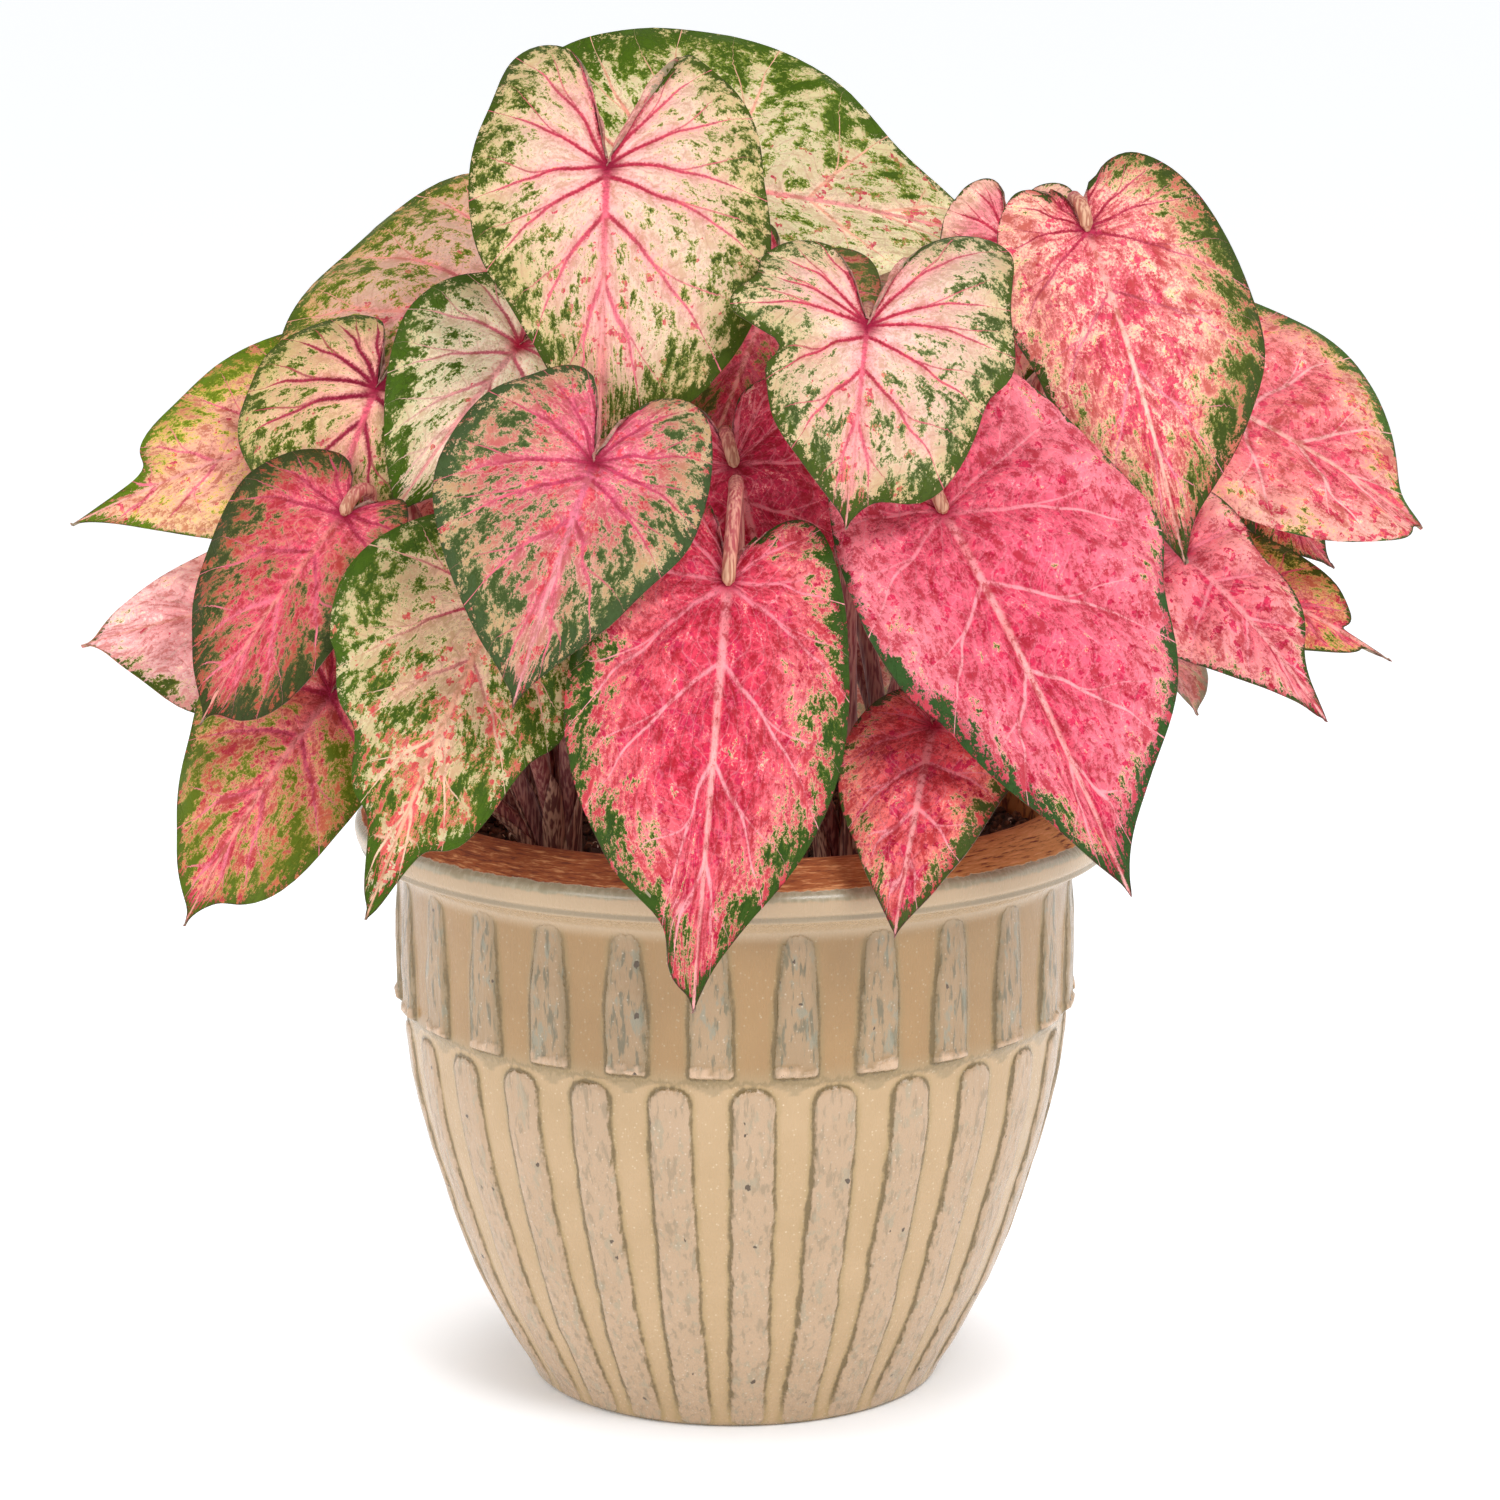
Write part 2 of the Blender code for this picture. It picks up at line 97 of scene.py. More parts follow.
def read_vectors(tree, *names):
    """The three parts of each of these vectors, which the mesh holds on its points."""
    vectors = [add(tree, "Attribute", output="Vector", attribute_name=name) for name in names]
    return [add(tree, "SeparateXYZ", {0: vector}).node.outputs for vector in vectors]


def new_material(name):
    material = bpy.data.materials.new(name)
    material.use_nodes = True
    material.node_tree.nodes.clear()
    return material, material.node_tree


def finished(material, **values):
    """Gives the material its surface, with spaces in the names of the values written as underscores."""
    tree = material.node_tree
    values = {name.replace("_", " "): value for name, value in values.items()}
    add(tree, "OutputMaterial", {"Surface": add(tree, "BsdfPrincipled", values)})
    return material


def new_group(name, kind, inputs, outputs):
    """A node group with its inputs and outputs, each a name and a kind, and what its input node gives."""
    tree = bpy.data.node_groups.new(name, kind)
    for in_out, sockets in (("INPUT", inputs), ("OUTPUT", outputs)):
        for socket, what in sockets.items():
            tree.interface.new_socket(socket, in_out=in_out, socket_type="NodeSocket" + what)
    return tree, add(tree, "NodeGroupInput").node.outputs


def new_object(name, data):
    made = bpy.data.objects.new(name, data)
    bpy.context.scene.collection.objects.link(made)
    return made


def smooth(low, high, value):
    """0 below low, 1 above high and a smooth ramp between. High may be the smaller one."""
    t = np.clip((value - low) / (high - low), 0, 1)
    return t * t * (3 - 2 * t)


def unit(vector):
    vector = np.asarray(vector, float)
    return vector / np.linalg.norm(vector)


def lattice_noise(u, v, seed, around=0):
    """Smooth random values from -1 to 1 at points (u, v). Around is how many cells u has in a full turn."""
    rows = np.random.default_rng(seed).uniform(-1, 1, (around or 256, 256))
    i, j = np.floor(u).astype(int), np.floor(v).astype(int)
    s, t = u - i, v - j
    s, t = s * s * (3 - 2 * s), t * t * (3 - 2 * t)
    n = len(rows)
    low = rows[i % n, j % 256] * (1 - s) + rows[(i + 1) % n, j % 256] * s
    high = rows[i % n, (j + 1) % 256] * (1 - s) + rows[(i + 1) % n, (j + 1) % 256] * s
    return low * (1 - t) + high * t


def write_mesh(name, points, faces, material, attributes=None, crease=180):
    """A mesh object from points in millimetres with vectors on them, smooth up to the crease angle."""
    mesh = bpy.data.meshes.new(name)
    mesh.from_pydata((np.asarray(points) * MM).tolist(), [], faces)
    for key, values in (attributes or {}).items():
        layer = mesh.attributes.new(key, "FLOAT_VECTOR", "POINT")
        layer.data.foreach_set("vector", np.asarray(values, np.float32).ravel())
    mesh.shade_smooth()
    if crease < 180:
        mesh.set_sharp_from_angle(angle=math.radians(crease))
    mesh.materials.append(material)
    return new_object(name, mesh)


def grid_faces(columns, rows, closed):
    """Quads of a grid of points stored column by column. Closed joins the last column to the first."""
    last = columns if closed else columns - 1
    return [(c * rows + r, (c + 1) % columns * rows + r, (c + 1) % columns * rows + r + 1, c * rows + r + 1)
            for c in range(last) for r in range(rows - 1)]


def keep(piece, slot, *nodes):
    """Puts a finished piece in place of the solids that it stands for."""
    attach(piece, "root")
    if nodes:
        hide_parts(*nodes)


# Where the stems start and how a blade is shaped, as in the solids

TUBERS = {
    "front_left": (-62.0, -48.0),
    "front_right": (40.0, -55.0),
    "middle": (-4.0, 12.0),
    "rear_left": (-62.0, 52.0),
    "rear_right": (64.0, 46.0),
}
STEM_START = 203.0
STEM_RING = 7.0
STEM_NECK = 3.0
BLADE_THICKNESS = 0.8
SEAT_GAP = 0.5

# Half outline of a blade from the tip to the notch: along the midrib and across, as shares of its length.
HALF_OUTLINE = (
    (1.00, 0.00), (0.945, 0.021), (0.87, 0.072), (0.755, 0.180), (0.59, 0.318),
    (0.40, 0.430), (0.20, 0.495), (0.00, 0.505), (-0.18, 0.465), (-0.33, 0.375),
    (-0.41, 0.250), (-0.375, 0.125), (-0.24, 0.055), (-0.10, 0.022), (-0.035, 0.0),
)
LOBE_DEPTH = 0.41
LOBES_BEND_OVER = 0.45
NOTCH_SIDE = 0.8

USUAL = {
    "width": (1.0, 1.0), "lobe": (1.0, 1.0), "belly": (0.0, 0.0), "full": (0.0, 0.0),
    "bend": 25.0, "lobe_bend": 25.0, "fold": 8.0, "curl": -20.0,
    "wave": 0.02, "phase": 0.0, "dent": None, "lean": 0.6, "reach": 0.35, "open": (0.0, 0.0),
    "bulges": (), "blunt": (0.0, 0.0), "gather": 1.2,
}
WAVES = 3.0
OUTLINE_WAVE = 0.02

# Each blade: its tuber, where the stem meets it, its tip, which way its face looks (degrees round from
# the front, degrees up), and where it differs from the usual shape. Pairs are left side and right side.
# A bulge is its side, how far along the outline from the tip it sits, how much it adds, and its breadth.
LEAVES = {
    "front_top": ("middle", (-45, -60, 461), (-47, -94, 367), (0, 25), {
        "width": (0.95, 1.12), "lobe": (1.3, 1.2), "belly": (0.0, -0.05), "full": (0.0, 0.5), "bend": 30,
        "lobe_bend": 20, "fold": 10, "curl": -25, "lean": 0.8, "reach": 0.22, "open": (0.05, 0.3),
        "blunt": (0.03, 0.07), "gather": 2.4,
        "bulges": ((-1, 0.69, 0.12, 0.1), (-1, 0.58, -0.05, 0.06), (1, 0.23, 0.16, 0.08),
                   (1, 0.66, -0.05, 0.06), (1, 0.76, 0.08, 0.06))}),
    "back_top": ("middle", (-24, 25, 448), (94, 50, 425), (0, 40), {
        "width": (0.95, 1.15), "lobe": (1.0, 1.1), "belly": (0.0, -0.1), "bend": 20, "curl": -15,
        "bulges": ((1, 0.5, 0.04, 0.25), (1, 0.14, 0.09, 0.07))}),
    "left_back": ("rear_left", (-80, 20, 420), (-172, -5, 368), (-35, 40), {
        "width": (0.9, 1.05),
        "bulges": ((-1, 0.5, 0.22, 0.2), (-1, 0.28, 0.12, 0.1))}),
    "left_middle": ("front_left", (-129, -40, 380), (-148, -66, 318), (-15, 25), {
        "width": (1.35, 1.1), "lobe": (1.2, 1.0), "bend": 30, "gather": 2.3,
        "bulges": ((-1, 0.35, 0.12, 0.1),)}),
    "left_cream": ("front_left", (-77, -45, 396), (-122, -72, 338), (-10, 30), {
        "width": (1.1, 1.2), "lobe": (1.1, 1.0), "bend": 20, "gather": 2.1,
        "bulges": ((-1, 0.62, -0.14, 0.1),)}),
    "right_centre": ("front_right", (46, -105, 410), (38, -140, 344), (5, 35), {
        "width": (1.3, 1.42), "lobe": (1.05, 1.35), "belly": (-0.15, -0.05), "full": (0.0, 0.35),
        "bend": 15, "dent": (-1, 0.15, 0.35, 0.12), "open": (0.1, 0.12), "gather": 2.1,
        "bulges": ((1, 0.7, 0.42, 0.08), (1, 0.36, -0.17, 0.07), (1, 0.22, 0.13, 0.05),
                   (-1, 0.35, -0.14, 0.05), (-1, 0.72, 0.16, 0.08), (-1, 0.55, -0.14, 0.06))}),
    "front_left_centre": ("front_left", (-48, -132, 366), (-75, -166, 287), (0, 25), {
        "width": (1.1, 0.92), "lobe": (1.1, 1.0), "belly": (0.1, 0.0), "bend": 30, "open": (0.05, 0.0),
        "gather": 2.0,
        "bulges": ((-1, 0.66, -0.06, 0.08), (1, 0.34, -0.05, 0.06))}),
    "left_dark": ("front_left", (-138, -78, 340), (-188, -104, 269), (-28, 20), {
        "width": (0.9, 0.65), "lobe": (0.5, 0.4), "belly": (0.1, 0.1), "full": (0.1, 0.4), "lean": 0.4,
        "open": (0.1, 0.2),
        "bulges": ((1, 0.26, 0.22, 0.1), (-1, 0.66, 0.12, 0.1), (-1, 0.82, -0.12, 0.06))}),
    "front_left_low": ("front_left", (-82, -110, 314), (-127, -152, 210), (-5, 20), {
        "width": (0.68, 0.72), "lobe": (0.75, 0.3), "belly": (0.25, 0.35), "full": (0.0, -0.12),
        "bulges": ((-1, 0.56, 0.38, 0.065), (-1, 0.33, -0.12, 0.06), (-1, 0.2, -0.12, 0.06),
                   (1, 0.4, -0.2, 0.1), (1, 0.2, -0.1, 0.06))}),
    "left_low": ("front_left", (-144, -76, 275), (-196, -98, 195), (-20, 25), {
        "width": (0.85, 0.72), "lobe": (0.8, 0.5), "belly": (0.1, 0.1),
        "bulges": ((1, 0.3, 0.17, 0.1),)}),
    "far_left_upper": ("rear_left", (-150, -5, 362), (-243, -20, 327), (-25, 30), {
        "width": (0.85, 0.9), "bend": 20,
        "bulges": ((-1, 0.16, -0.2, 0.07), (-1, 0.3, -0.04, 0.06))}),
    "far_left_lower": ("front_left", (-160, -18, 300), (-239, -30, 284), (-25, 35), {
        "width": (0.75, 1.1), "full": (0.0, 0.4), "bend": 20,
        "bulges": ((1, 0.25, 0.08, 0.1),)}),
    "front_lowest": ("front_right", (-2, -128, 324), (-14, -176, 183), (0, 20), {
        "width": (0.72, 0.6), "lobe": (0.6, 0.4), "belly": (0.34, 0.22), "full": (-0.08, 0.0), "bend": 30,
        "dent": (-1, 0.83, 0.4, 0.07),
        "bulges": ((-1, 0.43, -0.08, 0.12),)}),
    "front_right_large": ("front_right", (73, -105, 345), (137, -148, 217), (10, 20), {
        "width": (0.6, 0.8), "lobe": (0.6, 0.9), "belly": (0.15, 0.1), "full": (-0.05, 0.2),
        "bulges": ((1, 0.47, 0.15, 0.06), (1, 0.38, -0.05, 0.06), (-1, 0.36, -0.06, 0.04))}),
    "right_top": ("front_right", (126, -40, 437), (160, -75, 321), (15, 20), {
        "width": (0.66, 0.82), "lobe": (0.4, 0.5), "belly": (0.25, 0.15), "full": (0.0, 0.15),
        "bulges": ((-1, 0.42, -0.1, 0.07), (1, 0.66, -0.05, 0.1))}),
    "far_right_upper": ("rear_right", (172, 22, 370), (256, 12, 321), (32, 30), {
        "width": (0.9, 0.95),
        "bulges": ((1, 0.45, 0.22, 0.2), (-1, 0.25, 0.2, 0.12))}),
    "right_low": ("front_right", (162, -46, 321), (212, -74, 264), (28, 25), {
        "width": (0.95, 0.85),
        "bulges": ((1, 0.4, -0.3, 0.1), (1, 0.2, -0.1, 0.08))}),
    "far_right_small": ("rear_right", (200, 50, 326), (228, 50, 299), (25, 35), {"width": (0.8, 0.8)}),
    "far_right_lower": ("rear_right", (180, 20, 303), (246, 12, 270), (20, 30), {
        "width": (0.65, 0.6),
        "bulges": ((1, 0.12, -0.2, 0.07), (-1, 0.1, -0.1, 0.07))}),
    "front_small": ("front_right", (70, -100, 268), (55, -158, 205), (-5, 35), {
        "width": (0.65, 0.9), "lobe": (0.5, 0.7), "belly": (0.2, 0.1),
        "bulges": ((1, 0.38, -0.2, 0.12),)}),
    "middle_pink": ("front_right", (0, -82, 358), (18, -100, 292), (0, 20), {"bend": 20}),
    "middle_olive": ("middle", (14, -30, 414), (-10, -55, 355), (0, 35), {
        "width": (1.15, 1.2), "bend": 20}),
    "back_pale": ("rear_right", (100, 10, 428), (92, -15, 360), (0, 25), {
        "width": (0.65, 0.85), "lobe": (0.9, 0.9), "bend": 20}),
    "rear_top": ("rear_right", (18, 80, 408), (34, 146, 335), (168, 35), {}),
    "rear_left_top": ("rear_left", (-62, 74, 380), (-95, 130, 298), (-150, 30), {}),
    "rear_right_top": ("rear_right", (112, 80, 366), (156, 126, 290), (132, 30), {"lean": 0.85}),
    "rear_left_middle": ("rear_left", (-125, 66, 322), (-180, 104, 258), (-122, 30), {"lobe": (0.7, 0.7)}),
    "rear_centre": ("rear_right", (22, 112, 335), (12, 170, 243), (180, 25), {}),
    "rear_left_inner": ("rear_left", (-52, 112, 315), (-70, 166, 228), (-165, 25), {}),
    "rear_right_inner": ("rear_right", (76, 108, 298), (98, 160, 214), (155, 25), {"lobe": (0.6, 0.6)}),
    "rear_right_middle": ("rear_right", (154, 96, 276), (184, 122, 228), (125, 25), {}),
    "rear_left_low": ("rear_left", (-122, 96, 262), (-158, 134, 195), (-135, 25), {}),
    "rear_low": ("rear_right", (25, 128, 264), (25, 180, 182), (180, 20), {}),
    "left_side_low": ("rear_left", (-150, 26, 274), (-195, 44, 224), (-95, 25), {}),
    "right_side_middle": ("front_right", (116, -12, 288), (144, -9, 230), (85, 20), {
        "width": (0.75, 0.75)}),
    "right_side_low": ("front_right", (112, -80, 282), (135, -104, 222), (60, 20), {}),
}


def smooth_curve(points, share):
    """Points on a Catmull-Rom curve through the given ones, at shares of the way along."""
    p = np.array(points, float)
    p = np.vstack([2 * p[0] - p[1], p, 2 * p[-1] - p[-2]])
    t = share * (len(points) - 1)
    i = np.minimum(t.astype(int), len(points) - 2)
    u = (t - i)[:, None]
    a, b, c, d = p[i], p[i + 1], p[i + 2], p[i + 3]
    return 0.5 * (2 * b + (c - a) * u + (2 * a - 5 * b + 4 * c - d) * u**2 + (3 * b - a - 3 * c + d) * u**3)


# Leaf blades. The side veins of each half leave the midrib and end at these shares of its outline.
VEIN_ENDS = (0.14, 0.24, 0.35, 0.46, 0.57, 0.67, 0.77)
VEIN_SCATTER = 0.02
BETWEEN_VEINS = (0.0, 0.05, 0.13, 0.26, 0.4, 0.5, 0.6, 0.74, 0.87, 0.95)
VEIN_ROWS = 26
RIM_POINTS = 160
LAST_FROM_MIDRIB = 0.47
VEIN_BOW, VEIN_WOBBLE = 0.09, 1.3
SKIN = 0.45
RIB_BELOW, RIB_BELOW_WIDTH = 0.7, 1.1
GROOVE, GROOVE_WIDTH = 0.3, 1.3
CRINKLE, FRILL = 0.6, 0.014
FINE_VEIN_SPACING = 5.5


class Blade:
    """One leaf blade: where it sits, how it is shaped, and the points that follow from that."""

    def __init__(self, tuber, joint, tip, face, changes):
        self.tuber = tuber
        self.joint = np.array(joint, float)
        self.shape = {**USUAL, **changes}
        chord = np.array(tip, float) - self.joint
        self.length = float(np.linalg.norm(chord))
        self.along = chord / self.length
        turn, up = math.radians(face[0]), math.radians(face[1])
        looks = np.array([math.sin(turn) * math.cos(up), -math.cos(turn) * math.cos(up), math.sin(up)])
        self.normal = unit(looks - (looks @ self.along) * self.along)
        self.across = np.cross(self.normal, self.along)

    def half_outline(self, side, share):
        """Flat outline of one half, tip to notch. Side is -1 for left and 1 for right."""
        k = 0 if side < 0 else 1
        shape = self.shape
        belly, reach = shape["belly"][k], LOBE_DEPTH * shape["lobe"][k]
        flat = smooth_curve(HALF_OUTLINE, share)
        a, b = flat[:, 0].copy(), flat[:, 1] * shape["width"][k]
        front = a > 0
        inner = share > NOTCH_SIDE
        ahead = np.clip(a, 0, 1)
        b = b * (1 + shape["full"][k] * np.sin(math.pi * ahead) * ahead)
        a_front = belly + a * (1 - belly)
        a_back = belly + a / LOBE_DEPTH * (reach + belly)
        a = np.where(front, a_front, np.where(inner, a * shape["lobe"][k], a_back))
        b = b + shape["open"][k] * np.clip(-a, 0, 1) * smooth(0.70, 0.86, share)
        if shape["dent"] and shape["dent"][0] == side:
            _, at, depth, breadth = shape["dent"]
            b = b * (1 - depth * np.exp(-(((a - at) / breadth) ** 2)))
        b = b + shape["blunt"][k] * np.sin(math.pi * np.clip(share / 0.25, 0, 1))
        swell = OUTLINE_WAVE * np.sin(2 * math.pi * WAVES * share + side)
        swell += OUTLINE_WAVE * lattice_noise(share * 13, share * 0 + 7.5 * side + 90, int(self.length * 10))
        swell = 1 + swell * np.sqrt(np.sin(math.pi * share))
        for _, at, amount, breadth in (bulge for bulge in shape["bulges"] if bulge[0] == side):
            swell = swell + amount * np.exp(-(((share - at) / breadth) ** 2))
        return np.stack([a * swell, side * b * swell], 1) * self.length

    def placed(self, flat, out, share, side, raised):
        """Points in space for flat ones. Out is 0 at the joint and 1 at the margin."""
        shape, length = self.shape, self.length
        a, b = flat[:, 0], flat[:, 1]
        s = a / length
        bend, lobe_bend = math.radians(shape["bend"]), math.radians(shape["lobe_bend"])
        start = bend / 2
        rate = np.where(s >= 0, bend, lobe_bend / LOBES_BEND_OVER)
        arc = (math.sin(start) - math.sin(start - bend)) / bend
        forward = (math.sin(start) - np.sin(start - rate * s)) / rate / arc * length
        lift = (np.cos(start - rate * s) - math.cos(start)) / rate / arc * length
        slope = start - rate * s
        fold = math.radians(shape["fold"])
        curl = math.radians(shape["curl"]) / (0.5 * length)
        across = (np.sin(fold + curl * abs(b)) - math.sin(fold)) / curl * np.sign(b)
        rise = -(np.cos(fold + curl * abs(b)) - math.cos(fold)) / curl
        ripple = np.sin(2 * math.pi * WAVES * share + shape["phase"] + 2 * side)
        rise = rise + shape["wave"] * length * out**2.5 * ripple * np.minimum(1, 6 * share) + raised
        return (
            self.joint
            + np.outer(forward - rise * np.sin(slope), self.along)
            + np.outer(lift + rise * np.cos(slope), self.normal)
            + np.outer(across, self.across)
        )

    def half(self, side, seed, quilt):
        """Points of one half in columns along its veins, with what the colours need to know of each."""
        even = [0.0] + list(VEIN_ENDS) + [1.0]
        draw = random.Random(seed * 10 + side)
        knots = [0.0] + [end + draw.uniform(-VEIN_SCATTER, VEIN_SCATTER) for end in VEIN_ENDS] + [1.0]
        between = np.array(BETWEEN_VEINS)
        share = np.concatenate([a + (b - a) * between for a, b in zip(knots, knots[1:])] + [[1.0]])
        even = np.concatenate([a + (b - a) * between for a, b in zip(even, even[1:])] + [[1.0]])
        order = np.concatenate([k + between for k in range(len(knots) - 1)] + [[len(knots) - 1.0]])
        end = self.half_outline(side, share)
        start = np.zeros_like(end)
        start[:, 0] = self.length * np.clip(1 - even / LAST_FROM_MIDRIB, 0, 1) ** self.shape["gather"]
        chord = end - start
        basal = np.stack([-abs(chord[:, 1]), side * chord[:, 0]], 1)
        middle = (start + end) / 2 + basal * VEIN_BOW
        r = np.linspace(0, 1, VEIN_ROWS)[None, :, None]
        flat = (1 - r) ** 2 * start[:, None] + 2 * (1 - r) * r * middle[:, None] + r * r * end[:, None]
        heading = 2 * (1 - r) * (middle - start)[:, None] + 2 * r * (end - middle)[:, None]
        heading /= np.maximum(np.linalg.norm(heading, axis=2, keepdims=True), 1e-6)
        wobble = lattice_noise(flat[..., 0].ravel() / 9 + 70, flat[..., 1].ravel() / 9 + 70, seed + 4)
        wobble = VEIN_WOBBLE * wobble.reshape(flat.shape[:2]) * np.sin(math.pi * r[..., 0])
        flat = flat + wobble[..., None] * np.stack([-heading[..., 1], heading[..., 0]], 2)
        spread = np.gradient(flat, order, axis=0)
        width = abs(spread[..., 0] * heading[..., 1] - spread[..., 1] * heading[..., 0])
        run = r[..., 0] * np.linalg.norm(chord, axis=1)[:, None]
        part = np.tile(r[0, :, 0], len(share))
        even_round = np.linspace(0, 1, RIM_POINTS)
        rim = self.half_outline(side, even_round)
        turn = np.maximum.accumulate(np.arctan2(side * rim[:, 1], rim[:, 0]))
        turn[-1] = math.pi
        points = flat.reshape(-1, 2)
        angle = np.arctan2(side * points[:, 1], points[:, 0])
        lap = np.interp(angle, turn, even_round)
        out = np.hypot(*points.T) / np.maximum(np.interp(angle, turn, np.hypot(*rim.T)), 1e-6)
        out = np.minimum(out, 1.0)
        away = distances(points, rim)
        margin, beside = away.min(1), away.argmin(1) / (RIM_POINTS - 1)
        across_rib = distances(points, self.half_outline(-side, even_round)).min(1)
        margin = np.where(points[:, 0] > 0.3 * self.length, np.minimum(margin, across_rib), margin)
        order = np.repeat(order, VEIN_ROWS)
        width, run = width.ravel(), run.ravel()
        off = abs(order - np.clip(np.round(order), 1, len(VEIN_ENDS))) * width
        fork = np.where(order < 1, 30.0, (order - np.floor(order) - 0.45 * smooth(0.3, 1.0, part)) * width)
        middle_off = np.hypot(points[:, 1], np.minimum(points[:, 0], 0))
        inside = smooth(0, 7, margin) * smooth(0, 8, run)
        raised = quilt * width * np.sin(math.pi * order) ** 2 * inside
        raised -= GROOVE * np.exp(-(np.minimum(off, middle_off) / GROOVE_WIDTH) ** 2) * smooth(0, 4, margin)
        crinkle = lattice_noise(points[:, 0] / 11 + 40, points[:, 1] / 11 + 40 + 9 * side, seed)
        frill = lattice_noise(lap * 14, lap * 0 + 3.5 + side, seed + 1)
        raised += CRINKLE * crinkle * inside + FRILL * self.length * frill * out**7 * np.sin(math.pi * lap)
        place = self.placed(points, out, lap, side * np.minimum(1, (1 - lap) * 12), raised)
        under = np.exp(-(np.minimum(off, middle_off) / RIB_BELOW_WIDTH) ** 2) * smooth(0, 10, margin)
        facts = {"along": points[:, 0], "across": points[:, 1], "lateral": off, "midrib": middle_off,
                 "run": run, "part": part, "margin": margin, "beside": beside, "side": side + 0 * lap,
                 "fork": fork, "order": order, "bow": 0.35 * width * np.sin(math.pi * order) ** 2,
                 "warp": lattice_noise(points[:, 0] / 13 + 60, points[:, 1] / 13 + 60, seed + 2)}
        return place, facts, under

    def mesh(self, seed, quilt):
        """Both halves welded along the midrib, as a thin sheet whose veins stand out below."""
        place, facts, under, faces = [], [], [], []
        for side in (1, -1):
            half, about, ribs = self.half(side, seed, quilt)
            offset = sum(len(p) for p in place)
            quads = grid_faces(len(half) // VEIN_ROWS, VEIN_ROWS, False)
            faces += [tuple(offset + v for v in (quad if side > 0 else quad[::-1])) for quad in quads]
            place.append(half)
            facts.append(about)
            under.append(ribs)
        place = np.vstack(place)
        facts = {key: np.concatenate([f[key] for f in facts]) for key in facts[0]}
        under = np.concatenate(under)
        _, first, index = np.unique(np.round(place, 3), axis=0, return_index=True, return_inverse=True)
        index = index.ravel()
        place, under = place[first], under[first]
        facts = {key: values[first] for key, values in facts.items()}
        welded = []
        for quad in faces:
            ring = [int(v) for v in index[list(quad)]]
            ring = [v for k, v in enumerate(ring) if v != ring[k - 1]]
            if len(set(ring)) == len(ring) > 2:
                welded.append(tuple(ring))
        normals = point_normals(place, welded)
        if normals.sum(0) @ self.normal < 0:
            welded = [face[::-1] for face in welded]
            normals = -normals
        below = place - normals * (SKIN + RIB_BELOW * under)[:, None]
        count = len(place)
        faces = welded + [tuple(v + count for v in face[::-1]) for face in welded]
        edges = {(face[k - 1], face[k]) for face in welded for k in range(len(face))}
        faces += [(b, a, a + count, b + count) for a, b in edges if (b, a) not in edges]
        facts = {key: np.concatenate([values, values]) for key, values in facts.items()}
        facts["under"] = np.repeat([0.0, 1.0], count)
        return np.vstack([place, below]), faces, facts

    def stem_end(self):
        """The way the blade looks at its joint, and the point just under it where its stem stops."""
        tilt = math.radians(self.shape["bend"]) / 2
        up = math.cos(tilt) * self.normal - math.sin(tilt) * self.along
        return up, self.joint - up * (BLADE_THICKNESS + SEAT_GAP)

    def stem_path(self, stations):
        """Points up the stem: out of the tuber, over, and straight up to the blade for its last bit."""
        x, y = TUBERS[self.tuber]
        up, head = self.stem_end()
        end = head - up * STEM_NECK
        out = np.array([self.joint[0] - x, self.joint[1] - y, 0.0])
        far = np.linalg.norm(out)
        out /= far
        foot = np.array([x, y, STEM_START]) + out * STEM_RING
        height = end[2] - foot[2]
        first = foot + np.array([0, 0, 0.55 * height]) + out * 0.1 * far
        arrive = unit(up * self.shape["lean"] - self.along * (1 - self.shape["lean"]))
        second = end - arrive * self.shape["reach"] * max(height, 60.0)
        t = np.linspace(0, 1, stations)[:, None]
        path = (1 - t) ** 3 * foot + 3 * (1 - t) ** 2 * t * first + 3 * (1 - t) * t * t * second + t**3 * end
        return np.vstack([path, [head + up * 0.8]])


def distances(points, others):
    """How far each flat point is from each of the others."""
    return np.hypot(points[:, None, 0] - others[None, :, 0], points[:, None, 1] - others[None, :, 1])


def point_normals(points, faces):
    normals = np.zeros_like(points)
    for size in (3, 4):
        some = np.array([face for face in faces if len(face) == size])
        if len(some):
            corner = points[some]
            normal = np.cross(corner[:, 2] - corner[:, 0], corner[:, size - 1] - corner[:, 1])
            for k in range(size):
                np.add.at(normals, some[:, k], normal)
    return normals / np.maximum(np.linalg.norm(normals, axis=1, keepdims=True), 1e-12)


# Blade colours. Groups of four numbers stand for the tip's left and right side and the base's left and
# right side. "green" is how much of the blade the mottling covers near the margin and "heart" further in,
# past "reach" as a share of the length. "rim" is the width of the green margin and the other widths are
# half widths, all in millimetres. "shift" moves the ground colour from inner to outer, and "pink" is how
# much of it the blotches cover.

CREAM = {
    "inner": "#FCE2D2", "outer": "#FAEABC", "turns": 0.6, "shift": (0.0, 0.0, 0.0, 0.0),
    "blotch": "#DF5468", "pink": (0.3, 0.3, 0.12, 0.12), "pale": "#FFF4E2", "fleck": 0.2,
    "shade": "#EEE6D2", "haze": "#C9B868", "haze_power": 0.5, "haze_from": 0.61, "mottle": "#84893E",
    "deep": "#34440A", "green": (0.6, 0.6, 0.52, 0.52), "heart": 0.36, "reach": 0.2,
    "rim_colour": "#46570E", "rim": (3.0, 3.0, 2.0, 2.0), "edge": "#3A3320", "vein": "#BA2E48",
    "vein_end": "#E07080", "rib": "#E46278", "rib_end": "#F3A6A2", "glow": "#F07C8C", "fine": "#F3AFA8",
    "hub": "#98183A", "vein_width": 0.8, "rib_width": 1.3, "glow_width": 3.2, "glow_power": 0.85,
    "fine_power": 0.35, "quilt": 0.08,
}
